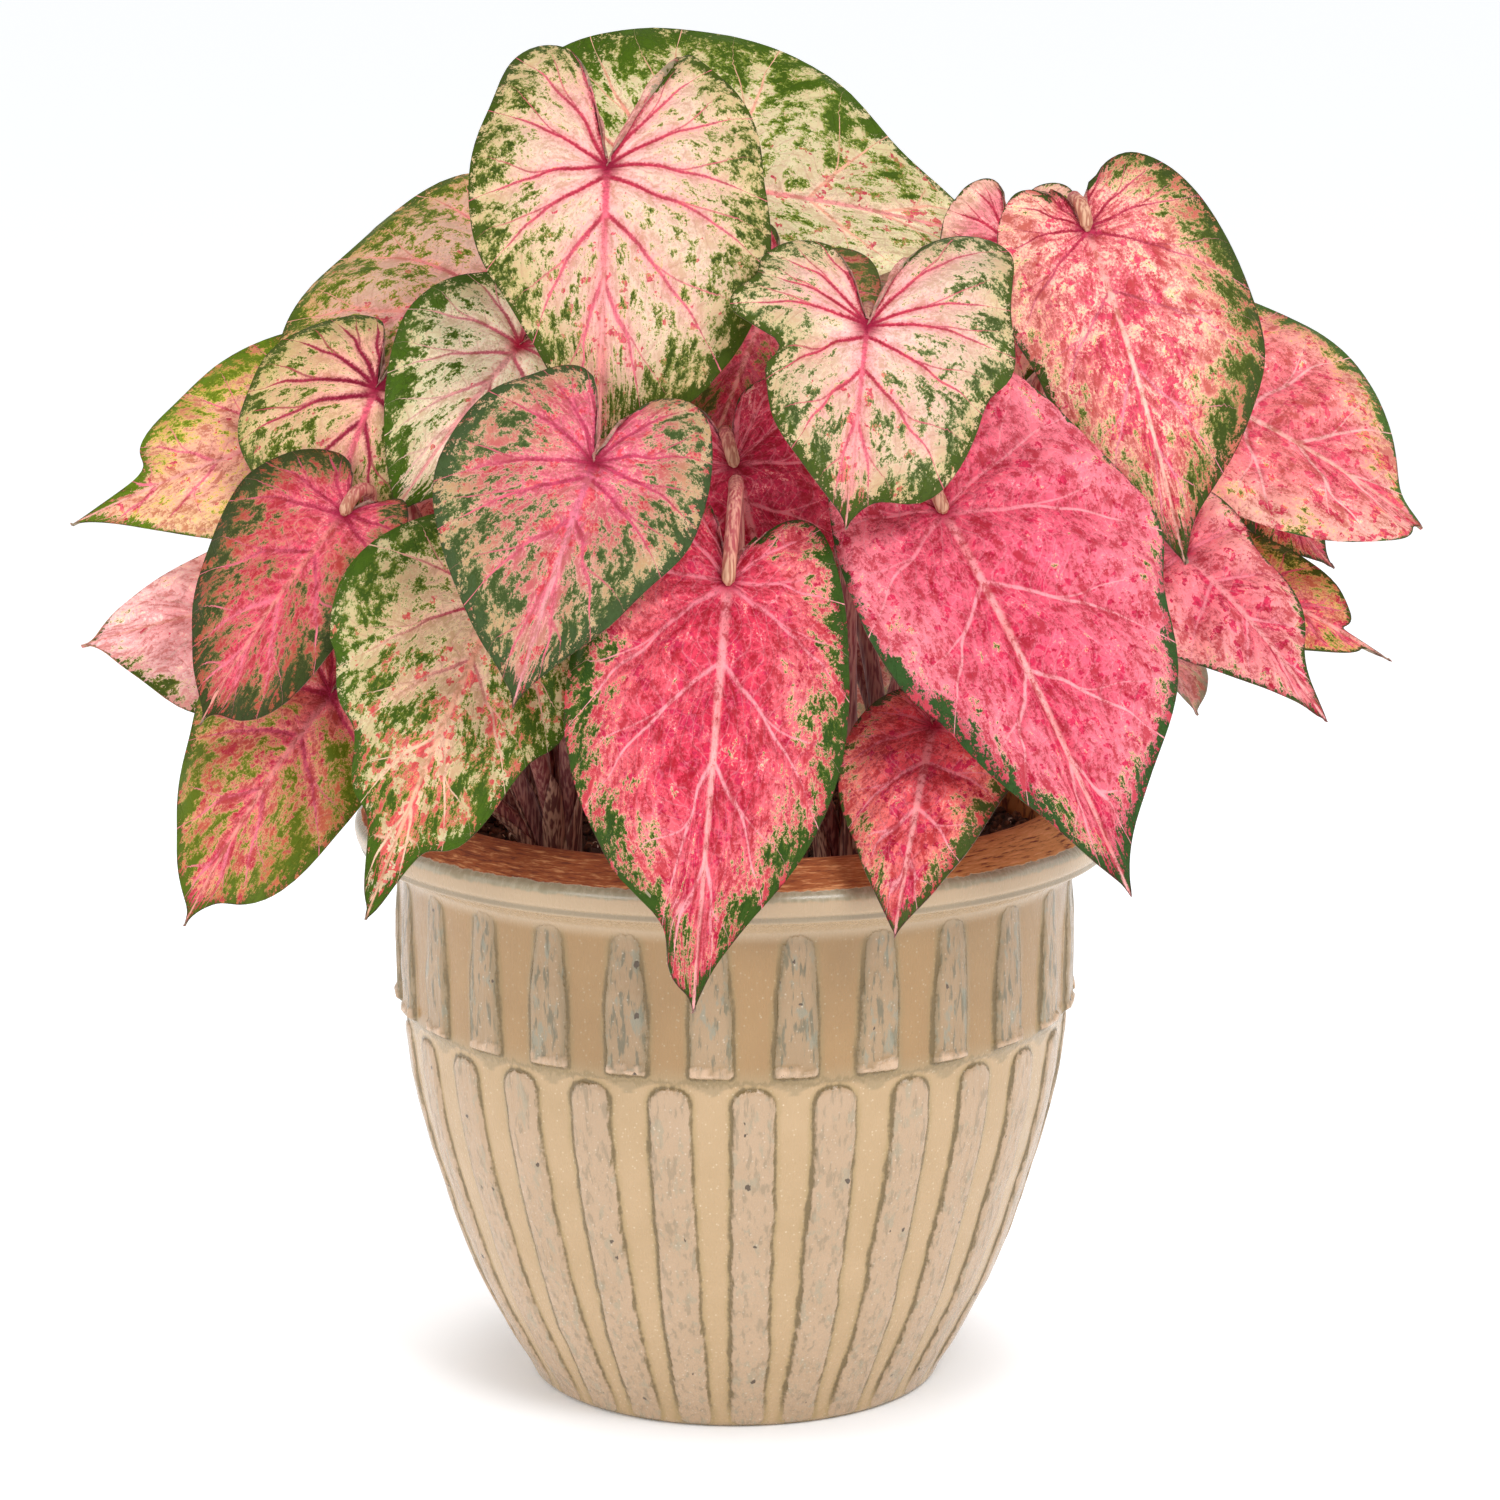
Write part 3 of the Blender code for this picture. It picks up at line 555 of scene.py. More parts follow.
ROSY = {
    **CREAM, "inner": "#E76A80", "outer": "#F2A398", "turns": 0.7, "blotch": "#E04A66",
    "pink": (0.42, 0.42, 0.3, 0.3), "shade": "#E2B2A8", "haze": "#EBCB96", "haze_power": 0.6,
    "mottle": "#7A7E30", "deep": "#3E4A0C", "heart": 0.26, "vein": "#C03A58", "vein_end": "#E8798A",
    "rib": "#EC8C93", "rib_end": "#F6B5A8", "glow": "#E2607B", "fine": "#F4A6A4", "hub": "#A82248",
    "quilt": 0.1,
}
PINK = {
    **CREAM, "inner": "#DE3E58", "outer": "#F57E84", "turns": 0.8, "blotch": "#CF3055",
    "pink": (0.36, 0.36, 0.36, 0.36), "pale": "#F8C6BC", "fleck": 0.17, "shade": "#E0949E",
    "haze": "#F2CFA0", "haze_power": 0.8, "haze_from": 0.655, "mottle": "#566A20", "deep": "#27420C",
    "green": (0.4, 0.4, 0.3, 0.3), "heart": 0.05, "reach": 0.16, "rim_colour": "#364E12",
    "rim": (2.5, 2.5, 1.0, 1.0), "edge": "#4A2A28", "vein": "#EC8292", "vein_end": "#F29FA6",
    "rib": "#F0929A", "rib_end": "#F6ACAA", "glow": "#C4244A", "fine": "#F29AA6", "hub": "#AE1E42",
    "vein_width": 0.7, "rib_width": 1.5, "glow_width": 2.6, "glow_power": 0.7, "fine_power": 0.38,
    "quilt": 0.16,
}
LOOKS = {
    "front_top": {
        **CREAM, "inner": "#FCDECC", "outer": "#F6E2B6", "shift": (0.2, 0.1, 0.0, 0.0),
        "green": (0.58, 0.66, 0.57, 0.55), "reach": 0.28, "rim": (5.0, 6.5, 4.5, 5.0)},
    "back_top": {
        **CREAM, "inner": "#FFF6D4", "outer": "#FFFAD0", "mottle": "#8A9A3A", "deep": "#3C5404",
        "green": (0.3, 0.56, 0.42, 0.76), "heart": 0.42, "reach": 0.34, "rim_colour": "#456006",
        "rim": (2.5, 5.0, 4.0, 20.0), "vein": "#D86A66", "vein_end": "#F0B49A", "rib": "#E87F78",
        "glow": "#F5C2B0", "hub": "#B84050", "glow_power": 0.5},
    "left_back": {
        **CREAM, "inner": "#FFDCCC", "outer": "#F2C892", "haze": "#D99A58", "haze_power": 0.7,
        "mottle": "#86902C", "deep": "#4A5A0C", "green": (0.6, 0.6, 0.62, 0.62), "heart": 0.42,
        "reach": 0.3, "rim_colour": "#46580E", "rim": (5.0, 5.0, 6.0, 6.0), "vein": "#DE6E7C",
        "vein_end": "#F0A090", "rib": "#E8868C", "glow": "#F0988E"},
    "left_middle": {
        **CREAM, "inner": "#F6D6AC", "outer": "#E4CE92", "mottle": "#6E7A24", "deep": "#3C4A08",
        "green": (0.58, 0.58, 0.56, 0.5), "heart": 0.46, "rim": (4.5, 3.5, 4.0, 3.0), "vein": "#8E1736",
        "vein_end": "#C94B60", "vein_width": 1.05},
    "left_cream": {
        **CREAM, "inner": "#FFFADA", "outer": "#FFF8CC", "pink": (0.1, 0.1, 0.0, 0.0), "haze_power": 0.35,
        "mottle": "#76863A", "deep": "#344A06", "green": (0.7, 0.62, 0.7, 0.54), "heart": 0.46,
        "rim_colour": "#48660E", "rim": (6.0, 4.0, 7.5, 3.0), "vein": "#D06A78", "vein_end": "#EDC3B4",
        "rib": "#E9A9A4", "hub": "#B5183C", "vein_width": 0.7, "glow_power": 0.35},
    "right_centre": {
        **CREAM, "inner": "#FCDED0", "outer": "#F4E0BA", "shift": (0.1, 0.2, 0.1, 0.1), "mottle": "#727E48",
        "deep": "#3A481C", "green": (0.58, 0.64, 0.52, 0.54), "heart": 0.4, "reach": 0.26,
        "rim": (4.0, 6.0, 3.0, 3.5), "vein_width": 0.7, "rib_width": 0.9},
    "front_left_centre": {
        **CREAM, "inner": "#E4687A", "outer": "#DFBE96", "turns": 0.75, "shift": (0.35, 0.35, -0.1, -0.1),
        "blotch": "#E04C5E", "pink": (0.3, 0.3, 0.42, 0.42), "haze": "#D9C49A", "mottle": "#6E7846",
        "deep": "#394A20", "green": (0.64, 0.64, 0.5, 0.52), "heart": 0.47, "reach": 0.3,
        "rim_colour": "#3E5030", "rim": (5.5, 5.5, 4.0, 3.5), "vein": "#C23F60", "rib": "#E0708A",
        "rib_end": "#EBA0A4", "glow": "#E06A88"},
    "left_dark": {
        **ROSY, "inner": "#DA4A5A", "outer": "#D67C62", "haze": "#B48A58", "haze_power": 0.7,
        "mottle": "#606432", "deep": "#363E18", "green": (0.68, 0.74, 0.74, 0.54), "heart": 0.37,
        "reach": 0.22, "rim_colour": "#323F16", "rim": (5.5, 5.5, 5.0, 3.0), "vein": "#B93A55",
        "rib": "#E07A78", "rib_end": "#E68E86"},
    "front_left_low": {
        **CREAM, "inner": "#F4D6B0", "outer": "#F0E8C0", "blotch": "#EE6064",
        "pink": (0.6, 0.58, 0.12, 0.38), "haze": "#DCD48A", "haze_power": 0.4, "mottle": "#76842C",
        "deep": "#385010", "green": (0.58, 0.62, 0.64, 0.64), "heart": 0.45, "reach": 0.26,
        "rim_colour": "#44600C", "rim": (5.5, 5.5, 7.0, 5.0), "vein": "#C0405A", "vein_end": "#F0C4A8",
        "rib": "#E8A48A", "rib_end": "#EDB89A", "vein_width": 0.6, "glow_power": 0.3},
    "left_low": {
        **ROSY, "inner": "#E87E6A", "outer": "#EFA870", "haze": "#DDBE7C", "mottle": "#8A8A2C",
        "deep": "#54620E", "green": (0.55, 0.62, 0.6, 0.55), "heart": 0.44, "reach": 0.3,
        "rim_colour": "#4E6216", "rim": (3.0, 4.5, 3.5, 3.5), "rib": "#E6868A", "rib_end": "#EC9A8E"},
    "far_left_upper": {
        **ROSY, "inner": "#FCC0A4", "outer": "#F8CE9C", "pink": (0.2, 0.2, 0.2, 0.2), "haze": "#E0C24E",
        "haze_power": 0.85, "mottle": "#8E9A2C", "deep": "#5C6E0C", "green": (0.55, 0.2, 0.7, 0.2),
        "heart": 0.22, "reach": 0.26, "rim_colour": "#5C7812", "rim": (5.0, 1.5, 8.0, 1.5),
        "vein": "#E26C78", "glow": "#F0908C", "glow_power": 0.4},
    "far_left_lower": {
        **ROSY, "inner": "#FFBEBC", "outer": "#FFD2CE", "pink": (0.12, 0.12, 0.12, 0.12),
        "shade": "#F2C8C2", "green": (0.1, 0.56, 0.1, 0.6), "heart": 0.0, "rim": (0.4, 2.5, 0.4, 2.5),
        "edge": "#C98A70", "vein": "#F3B1B2", "vein_end": "#F6C3BC", "rib": "#F5B5B0", "glow": "#F08A9A",
        "hub": "#D24866", "glow_power": 0.3},
    "front_lowest": {
        **PINK, "green": (0.56, 0.6, 0.66, 0.5), "heart": 0.07, "reach": 0.2, "rim": (2.5, 4.0, 5.0, 3.5)},
    "front_right_large": {
        **PINK, "inner": "#E85E78", "outer": "#F0808E", "fleck": 0.12, "green": (0.6, 0.48, 0.1, 0.12),
        "heart": 0.06, "reach": 0.12, "rim_colour": "#34522A", "rim": (7.0, 4.5, 1.2, 0.8), "quilt": 0.17},
    "right_top": {
        **ROSY, "inner": "#F06A7A", "outer": "#F4A496", "shift": (0.0, 0.45, 0.0, 0.6), "pale": "#F9D6B6",
        "fleck": 0.34, "haze": "#E5D08C", "mottle": "#74803A", "green": (0.42, 0.68, 0.18, 0.66),
        "heart": 0.1, "reach": 0.28, "rim_colour": "#34461A", "rim": (4.5, 7.0, 0.8, 6.0),
        "vein": "#B8304C", "vein_end": "#E8899A", "rib": "#F4A09A", "rib_end": "#F8C8B8",
        "vein_width": 0.55, "rib_width": 1.1, "glow_power": 0.3},
    "far_right_upper": {
        **ROSY, "inner": "#F8888A", "outer": "#F8BCAC", "haze": "#E8C060", "green": (0.2, 0.5, 0.2, 0.62),
        "heart": 0.04, "reach": 0.24, "rim_colour": "#4A7030", "rim": (1.0, 3.0, 1.0, 6.0),
        "vein": "#F4A6AC", "vein_end": "#F7B9B4", "rib": "#F7B6B0"},
    "right_low": {
        **PINK, "inner": "#F88490", "outer": "#F8A8A2", "fleck": 0.12, "green": (0.42, 0.4, 0.3, 0.3),
        "rim": (2.5, 2.0, 1.0, 1.0)},
    "far_right_small": {
        **ROSY, "outer": "#EE9A6C", "green": (0.66, 0.5, 0.6, 0.5), "rim_colour": "#2E4A22",
        "rim": (5.0, 3.0, 4.0, 3.0)},
    "far_right_lower": {
        **ROSY, "inner": "#EE9A84", "outer": "#F0B27C", "haze": "#DCC45C", "mottle": "#93983A",
        "green": (0.4, 0.5, 0.6, 0.6), "reach": 0.3, "rim": (1.5, 2.5, 4.0, 4.0)},
    "front_small": {
        **PINK, "inner": "#F26268", "outer": "#F68C80", "mottle": "#6E6F2A", "deep": "#3B4A1C",
        "green": (0.36, 0.62, 0.44, 0.62), "reach": 0.2, "rim_colour": "#44531E",
        "rim": (1.2, 5.0, 3.0, 7.0), "quilt": 0.1},
    "middle_pink": {
        **PINK, "inner": "#CF2F52", "outer": "#E04E68", "fleck": 0.2, "green": (0.0, 0.0, 0.1, 0.1),
        "rim": (0.6, 0.6, 0.8, 0.8)},
    "middle_olive": {
        **ROSY, "inner": "#C04656", "outer": "#C98A68", "haze": "#C98F62", "mottle": "#7A7A3A",
        "deep": "#4A5524", "green": (0.6, 0.6, 0.6, 0.6), "heart": 0.4, "reach": 0.3,
        "rim_colour": "#4E5A26", "rim": (5.0, 5.0, 4.0, 4.0)},
    "back_pale": {
        **CREAM, "inner": "#F0959C", "outer": "#F4C4B0", "green": (0.3, 0.3, 0.15, 0.4), "heart": 0.05,
        "rim": (2.0, 2.0, 0.7, 2.0)},
    "rear_top": {**CREAM, "rim_colour": "#456F1E", "rim": (4.0, 4.0, 6.0, 6.0)},
    "rear_left_top": ROSY,
    "rear_right_top": {**CREAM, "green": (0.6, 0.5, 0.55, 0.5), "heart": 0.3},
    "rear_left_middle": {**PINK, "green": (0.45, 0.4, 0.5, 0.35), "rim": (4.0, 3.0, 5.0, 2.0)},
    "rear_centre": {**CREAM, "inner": "#E97F8C", "turns": 0.8, "rim": (5.0, 5.0, 3.0, 3.0)},
    "rear_left_inner": {
        **CREAM, "green": (0.55, 0.6, 0.5, 0.6), "heart": 0.28, "rim": (6.0, 4.0, 4.0, 3.0)},
    "rear_right_inner": {**PINK, "green": (0.4, 0.5, 0.3, 0.5), "rim": (3.0, 5.0, 2.0, 6.0)},
    "rear_right_middle": ROSY,
    "rear_left_low": {**CREAM, "green": (0.66, 0.62, 0.62, 0.62), "rim": (6.0, 6.0, 6.0, 5.0)},
    "rear_low": {**ROSY, "rim": (4.0, 5.0, 3.0, 3.0)},
    "left_side_low": {**CREAM, "green": (0.64, 0.6, 0.6, 0.6), "heart": 0.34, "rim": (5.0, 5.0, 5.0, 5.0)},
    "right_side_middle": {**ROSY, "green": (0.5, 0.5, 0.5, 0.4)},
    "right_side_low": {**PINK, "rim": (3.0, 2.0, 3.0, 2.0)},
}


def blend(four, ahead, right):
    """A value between those of the tip's left and right and the base's left and right."""
    to_tip, to_right = smooth(-0.15, 0.75, ahead), smooth(-0.3, 0.3, right)
    tip = four[0] * (1 - to_right) + four[1] * to_right
    base = four[2] * (1 - to_right) + four[3] * to_right
    return base * (1 - to_tip) + tip * to_tip


def blade_facts(blade, look, known, seed):
    """The vectors that the blade's material reads, worked out on each point of its mesh."""
    length, margin, lateral, midrib = blade.length, known["margin"], known["lateral"], known["midrib"]
    ahead, right, part = known["along"] / length, known["across"] / length, known["part"]
    tapering = (1.15 - 0.85 * part) * (1 - 0.25 * np.clip(ahead, 0, 1))
    fading = 1 + 5 * smooth(0.75, 0.97, part)
    notch = smooth(0.78, 0.86, known["beside"])
    veins = np.minimum(lateral / (look["vein_width"] * tapering) * fading, margin / 1.1 + 8 * (1 - notch))
    fork = known["fork"] / (0.55 * look["vein_width"] * tapering) * fading
    rib_width = look["rib_width"] * (1 - 0.75 * np.clip(ahead, 0, 1))
    glow = np.exp(-lateral / look["glow_width"]) * (1 - smooth(0.45, 0.95, part))
    glow = np.maximum(glow, np.exp(-midrib / (1.4 * look["glow_width"])))
    glow = np.maximum(glow, notch * np.exp(-margin / (1.5 * look["glow_width"])))
    joint = np.hypot(known["along"], known["across"]) / length
    glow = np.maximum(glow, 0.95 * np.exp(-((joint / 0.11) ** 2)))
    near = 1 - smooth(0, look["reach"] * length, margin)
    clear = 0.26 * np.exp(-(lateral / 2.6) ** 2) * (1 - 0.5 * part) + 0.25 * np.exp(-(midrib / 3.2) ** 2)
    clear += 0.3 * np.exp(-((np.hypot(known["along"], known["across"]) / (0.15 * length)) ** 2))
    clear += 0.4 * notch * np.exp(-margin / 12)
    green = look["heart"] + (blend(look["green"], ahead, right) - look["heart"]) * near - clear
    uneven = 0.9 + 0.7 * lattice_noise(known["beside"] * 11, 3.5 * known["side"] + 40, seed)
    rim = blend(look["rim"], ahead, right) * uneven * (1 - 0.85 * notch)
    rim = 1 - margin / np.maximum(rim, 0.35)
    pink = blend(look["pink"], ahead, right) + 0.14 * np.exp(-midrib / 14) * smooth(0, 0.25, ahead)
    turned = 1 - smooth(0, look["turns"], margin / (0.36 * length)) + blend(look["shift"], ahead, right)
    turned = turned * (1 - 0.9 * notch) + 0.32 * known["warp"]
    phase = (known["run"] - 0.9 * known["bow"]) / FINE_VEIN_SPACING + 0.45 * known["warp"]
    return {
        "flat": np.stack([known["along"], known["across"], known["under"]], 1),
        "veins": np.stack([veins, midrib / rib_width, phase], 1),
        "edge": np.stack([rim, green, look["glow_power"] * glow], 1),
        "tone": np.stack([np.clip(turned, 0, 1), pink, margin], 1),
        "twigs": np.stack([fork, known["order"], known["side"] * known["run"]], 1),
    }


BLADE_AMOUNTS = ("fine_power", "haze_power", "haze_from", "fleck")
BLADE_HUES = (
    "inner", "outer", "shade", "blotch", "pale", "haze", "mottle", "deep", "vein", "vein_end", "rib",
    "rib_end", "glow", "fine", "rim_colour", "edge", "hub")
UNDERSIDE = "#DDBFA8"


def blade_colour_group():
    """Turns what a blade's mesh knows into its colour, its finest relief and its roughness."""
    amounts, hues = dict.fromkeys(("Seed",) + BLADE_AMOUNTS, "Float"), dict.fromkeys(BLADE_HUES, "Color")
    tree, given = new_group("caladium blade colours", "ShaderNodeTree", {**amounts, **hues},
                            {"Colour": "Color", "Height": "Float", "Roughness": "Float"})
    flat, veins, edge, tone, twigs = read_vectors(tree, "flat", "veins", "edge", "tone", "twigs")
    place = add(tree, "CombineXYZ", {0: flat[0], 1: flat[1], 2: given["Seed"]})

    # Patches of the mottling are about 10 mm, its streaks along the finer veins 1 mm wide, its specks 1 mm.
    patches = add(tree, "TexNoise", {"Vector": place, "Scale": 0.1, "Detail": 2.0, "Roughness": 0.6})
    specks = add(tree, "TexNoise", {"Vector": place, "Scale": 0.95, "Detail": 3.0, "Roughness": 0.85})
    streaked = weighted(tree, 0.0, (twigs[1], 5.5), (specks, 0.8))
    sideways = add(tree, "Math", {0: twigs[2], 1: 0.15}, operation="MULTIPLY")
    lane = add(tree, "CombineXYZ", {0: streaked, 1: sideways, 2: given["Seed"]})
    streaks = add(tree, "TexNoise", {"Vector": lane, "Scale": 1.0, "Detail": 4.0, "Roughness": 0.75})
    mixed = weighted(tree, -0.3, (patches, 0.3), (specks, 0.45), (streaks, 0.85))
    green = add(tree, "Math", {0: edge[1], 1: 0.42, 2: mixed}, operation="MULTIPLY_ADD")
    hazed = add(tree, "MapRange", {0: green, 1: given["haze_from"], 2: 0.70}, **SOFT)
    hazed = add(tree, "Math", {0: hazed, 1: given["haze_power"]}, operation="MULTIPLY")
    mottled = add(tree, "MapRange", {0: green, 1: 0.68, 2: 0.725}, **SOFT)
    deep = add(tree, "MapRange", {0: green, 1: 0.715, 2: 0.80}, **SOFT)

    # Blotches are 3 to 6 mm with sharp edges, flecks about 1.5 mm.
    blots = add(tree, "TexNoise", {"Vector": place, "Scale": 0.2, "Detail": 3.0, "Roughness": 0.6})
    blots = add(tree, "Math", {0: tone[1], 1: 0.5, 2: blots}, operation="MULTIPLY_ADD")
    blots = add(tree, "MapRange", {0: blots, 1: 0.77, 2: 0.79}, **SOFT)
    flecks = weighted(tree, 0.0, (streaks, 0.5), (specks, 0.5), (given["fleck"], 0.5), (patches, 0.4))
    flecks = add(tree, "Math", {0: flecks, 1: -0.2}, operation="ADD")
    flecks = add(tree, "MapRange", {0: flecks, 1: 0.66, 2: 0.74, 4: 0.85}, **SOFT)

    # Finer veins run obliquely off the side veins every 5.5 mm, with a net of 5 mm meshes between them.
    strand = add(tree, "Math", {0: specks, 1: 0.25, 2: veins[2]}, operation="MULTIPLY_ADD")
    strand = add(tree, "Math", {0: strand, 1: 0.5}, operation="PINGPONG")
    strand = add(tree, "MapRange", {0: strand, 1: 0.08, 2: 0.02}, **SOFT)
    net_place = add(tree, "Math", {0: specks, 1: 1.2}, operation="MULTIPLY")
    net_place = add(tree, "VectorMath", {0: place, 1: net_place}, operation="ADD")
    net = add(tree, "TexVoronoi", {"Vector": net_place, "Scale": 0.26}, feature="DISTANCE_TO_EDGE")
    net_line = add(tree, "MapRange", {0: net, 1: 0.09, 2: 0.02, 4: 0.6}, **SOFT)
    fine = add(tree, "Math", {0: strand, 1: net_line}, operation="MAXIMUM")
    fine = add(tree, "Math", {0: fine, 1: given["fine_power"]}, operation="MULTIPLY")

    # Side veins and the midrib, in half widths from their middle, with slightly ragged edges.
    ragged = add(tree, "Math", {0: specks, 1: 2.4, 2: -1.2}, operation="MULTIPLY_ADD")
    lateral = add(tree, "Math", {0: veins[0], 1: ragged}, operation="ADD")
    lateral = add(tree, "MapRange", {0: lateral, 1: 1.6, 2: 0.4}, **SOFT)
    forked = add(tree, "Math", {0: twigs[0]}, operation="ABSOLUTE")
    forked = add(tree, "Math", {0: forked, 1: ragged}, operation="ADD")
    forked = add(tree, "MapRange", {0: forked, 1: 1.7, 2: 0.3, 4: 0.8}, **SOFT)
    lateral = add(tree, "Math", {0: lateral, 1: forked}, operation="MAXIMUM")
    rib = add(tree, "Math", {0: veins[1], 1: ragged}, operation="ADD")
    rib = add(tree, "MapRange", {0: rib, 1: 1.6, 2: 0.5}, **SOFT)
    flat_only = add(tree, "CombineXYZ", {0: flat[0], 1: flat[1]})
    from_joint = add(tree, "VectorMath", {0: flat_only}, operation="LENGTH", output="Value")
    hub = add(tree, "MapRange", {0: from_joint, 1: 8.0, 2: 0.5}, **SOFT)
    outward = add(tree, "MapRange", {0: from_joint, 1: 8.0, 2: 60.0}, **SOFT)
    vein = layered(tree, given["vein"], (outward, given["vein_end"]))
    midrib = layered(tree, given["rib"], (outward, given["rib_end"]))

    # The green margin breaks up inwards into the mottling, and its very edge is a thin dark line.
    broken = add(tree, "Math", {0: mixed, 1: 6.5, 2: -2.3}, operation="MULTIPLY_ADD")
    rim = add(tree, "Math", {0: edge[0], 1: broken}, operation="ADD")
    rim = add(tree, "MapRange", {0: rim, 1: 1.05, 2: 1.4}, **SOFT)
    rim_hue = layered(tree, given["deep"], (specks, given["rim_colour"]))
    outline = add(tree, "Math", {0: specks, 1: 0.9, 2: tone[2]}, operation="MULTIPLY_ADD")
    outline = add(tree, "MapRange", {0: outline, 1: 1.05, 2: 0.7, 4: 0.75}, **SOFT)

    # The underside is paler. Thin parts between the streaks are darker and their middles lighter.
    faded = add(tree, "Math", {0: flat[2], 1: 0.4}, operation="MULTIPLY")
    colour = layered(
        tree, given["inner"], (tone[0], given["outer"]), (flecks, given["pale"]), (edge[2], given["glow"]),
        (blots, given["blotch"]), (fine, given["fine"]), (hazed, given["haze"]), (mottled, given["mottle"]),
        (deep, given["deep"]), (rim, rim_hue), (lateral, vein), (rib, midrib), (hub, given["hub"]),
        (outline, given["edge"]), (faded, UNDERSIDE))
    darker = add(tree, "MapRange", {0: mixed, 1: 0.50, 2: 0.38}, **SOFT)
    darker = layered(tree, "#FFFFFF", (darker, given["shade"]))
    colour = add(tree, "VectorMath", {0: colour, 1: darker}, operation="MULTIPLY")
    grain = add(tree, "MapRange", {0: mixed, 1: 0.44, 2: 0.64, 3: 0.95, 4: 1.42})
    colour = add(tree, "VectorMath", {0: colour, 3: grain}, operation="SCALE")
    height = weighted(tree, specks, (streaks, 0.8), (strand, -0.6))
    rough = add(tree, "MapRange", {0: patches, 1: 0.2, 2: 0.8, 3: 0.36, 4: 0.52})
    add(tree, "NodeGroupOutput", {"Colour": colour, "Height": height, "Roughness": rough})
    return tree


BLADE_COLOURS = blade_colour_group()


def blade_material(name, look, seed):
    """Fresh leaf: waxy and half matt on top, finely quilted, and it lets light through."""
    material, tree = new_material("caladium blade, " + name.replace("_", " "))
    values = {key: look[key] for key in BLADE_HUES + BLADE_AMOUNTS}
    colour = add(tree, "Group", {**values, "Seed": seed * 7.3}, node_tree=BLADE_COLOURS)
    made = colour.node.outputs
    bump = add(tree, "Bump", {"Strength": 0.6, "Distance": 0.0005, "Height": made["Height"]})
    skin = add(tree, "BsdfPrincipled", {"Base Color": colour, "Roughness": made["Roughness"], "Normal": bump,
                                        "IOR": 1.42, "Specular IOR Level": 0.2})
    through = add(tree, "BsdfTranslucent", {"Color": colour, "Normal": bump})
    both = add(tree, "MixShader", {0: 0.22, 1: skin, 2: through})
    add(tree, "OutputMaterial", {"Surface": both})
    return material


blades = {name: Blade(*row) for name, row in LEAVES.items()}
PINK_BLADES = ("front_lowest", "front_right_large", "left_dark", "middle_pink", "right_low", "front_small")
GREEN_BLADES = ("rear_left_low", "left_side_low", "middle_olive", "far_right_lower")
for number, (name, blade) in enumerate(blades.items()):
    look = LOOKS[name]
    points, faces, known = blade.mesh(number, look["quilt"])
    leaf = write_mesh("blade_" + name, points, faces, blade_material(name, look, number),
                      blade_facts(blade, look, known, number), crease=60)
    slot = "pink_blade" if name in PINK_BLADES else "green_blade" if name in GREEN_BLADES else "cream_blade"
    keep(leaf, slot, "leaf_" + name)


# Pot. Its profile as (radius, height) runs from the middle of the base up the outside, over the lip and
# down inside.
POT_PROFILE = (
    (0.0, 0.0), (72.0, 0.0), (75.5, 0.3), (77.2, 1.6), (78.2, 4.0), (80.3, 8.5), (83.5, 14.5), (90.6, 28.0),
    (98.5, 44.0), (104.9, 61.0), (110.2, 78.0), (114.8, 93.0), (118.6, 108.0), (121.3, 121.0),
    (122.8, 133.0), (123.4, 139.0), (123.9, 142.2), (124.9, 144.4), (125.3, 147.0), (125.4, 152.0),
    (125.6, 165.0), (125.8, 180.0), (126.0, 192.0), (126.6, 197.0), (128.2, 199.8), (131.6, 202.2),
    (136.0, 203.8),
    (139.2, 204.8), (140.3, 206.0), (139.9, 207.1), (141.2, 208.4), (142.0, 211.0), (142.2, 213.4),
    (141.5, 215.2), (139.8, 216.8), (136.0, 219.4), (131.6, 222.2), (128.0, 224.0), (124.5, 224.8),
    (121.0, 224.2), (118.9, 222.0), (118.0, 216.0), (117.2, 209.0), (116.8, 204.0), (115.0, 170.0),
    (107.0, 100.0), (87.0, 44.0), (66.0, 11.0), (0.0, 11.0),
)
GLAZE_ENDS = (139.8, 216.8)
# Places along the profile by number: up to the first and from the second it is straight, and between the
# third and fourth, on the band and the rim, its points are closest.
FLAT_BASE, FLAT_INSIDE, CLOSE_FROM, CLOSE_TO = 2, 43, 14, 40
POT_COLUMNS = 416
BARS = 26
# Rows of bars: the middle of one in degrees right of the front, bottom, top and half width.
UPPER_BARS = (-3.8, 146.0, 197.5, 7.4)
LOWER_BARS = (3.1, 1.0, 140.5, 7.4)
UPPER_RELIEF, LOWER_RELIEF = 1.9, 1.3
NO_BAR = 30.0
# Between these heights the upper bars grow narrower, and between the next two flatter.
NARROWING, FLATTENING = (165, 197), (172, 197)
TAB_TOP = 149.4
TAB_FOOT = (145.2, 146.4)
BAND_FOOT = 143
LEDGE_LINE, RIDGE_LINE = 148.4, 206.6


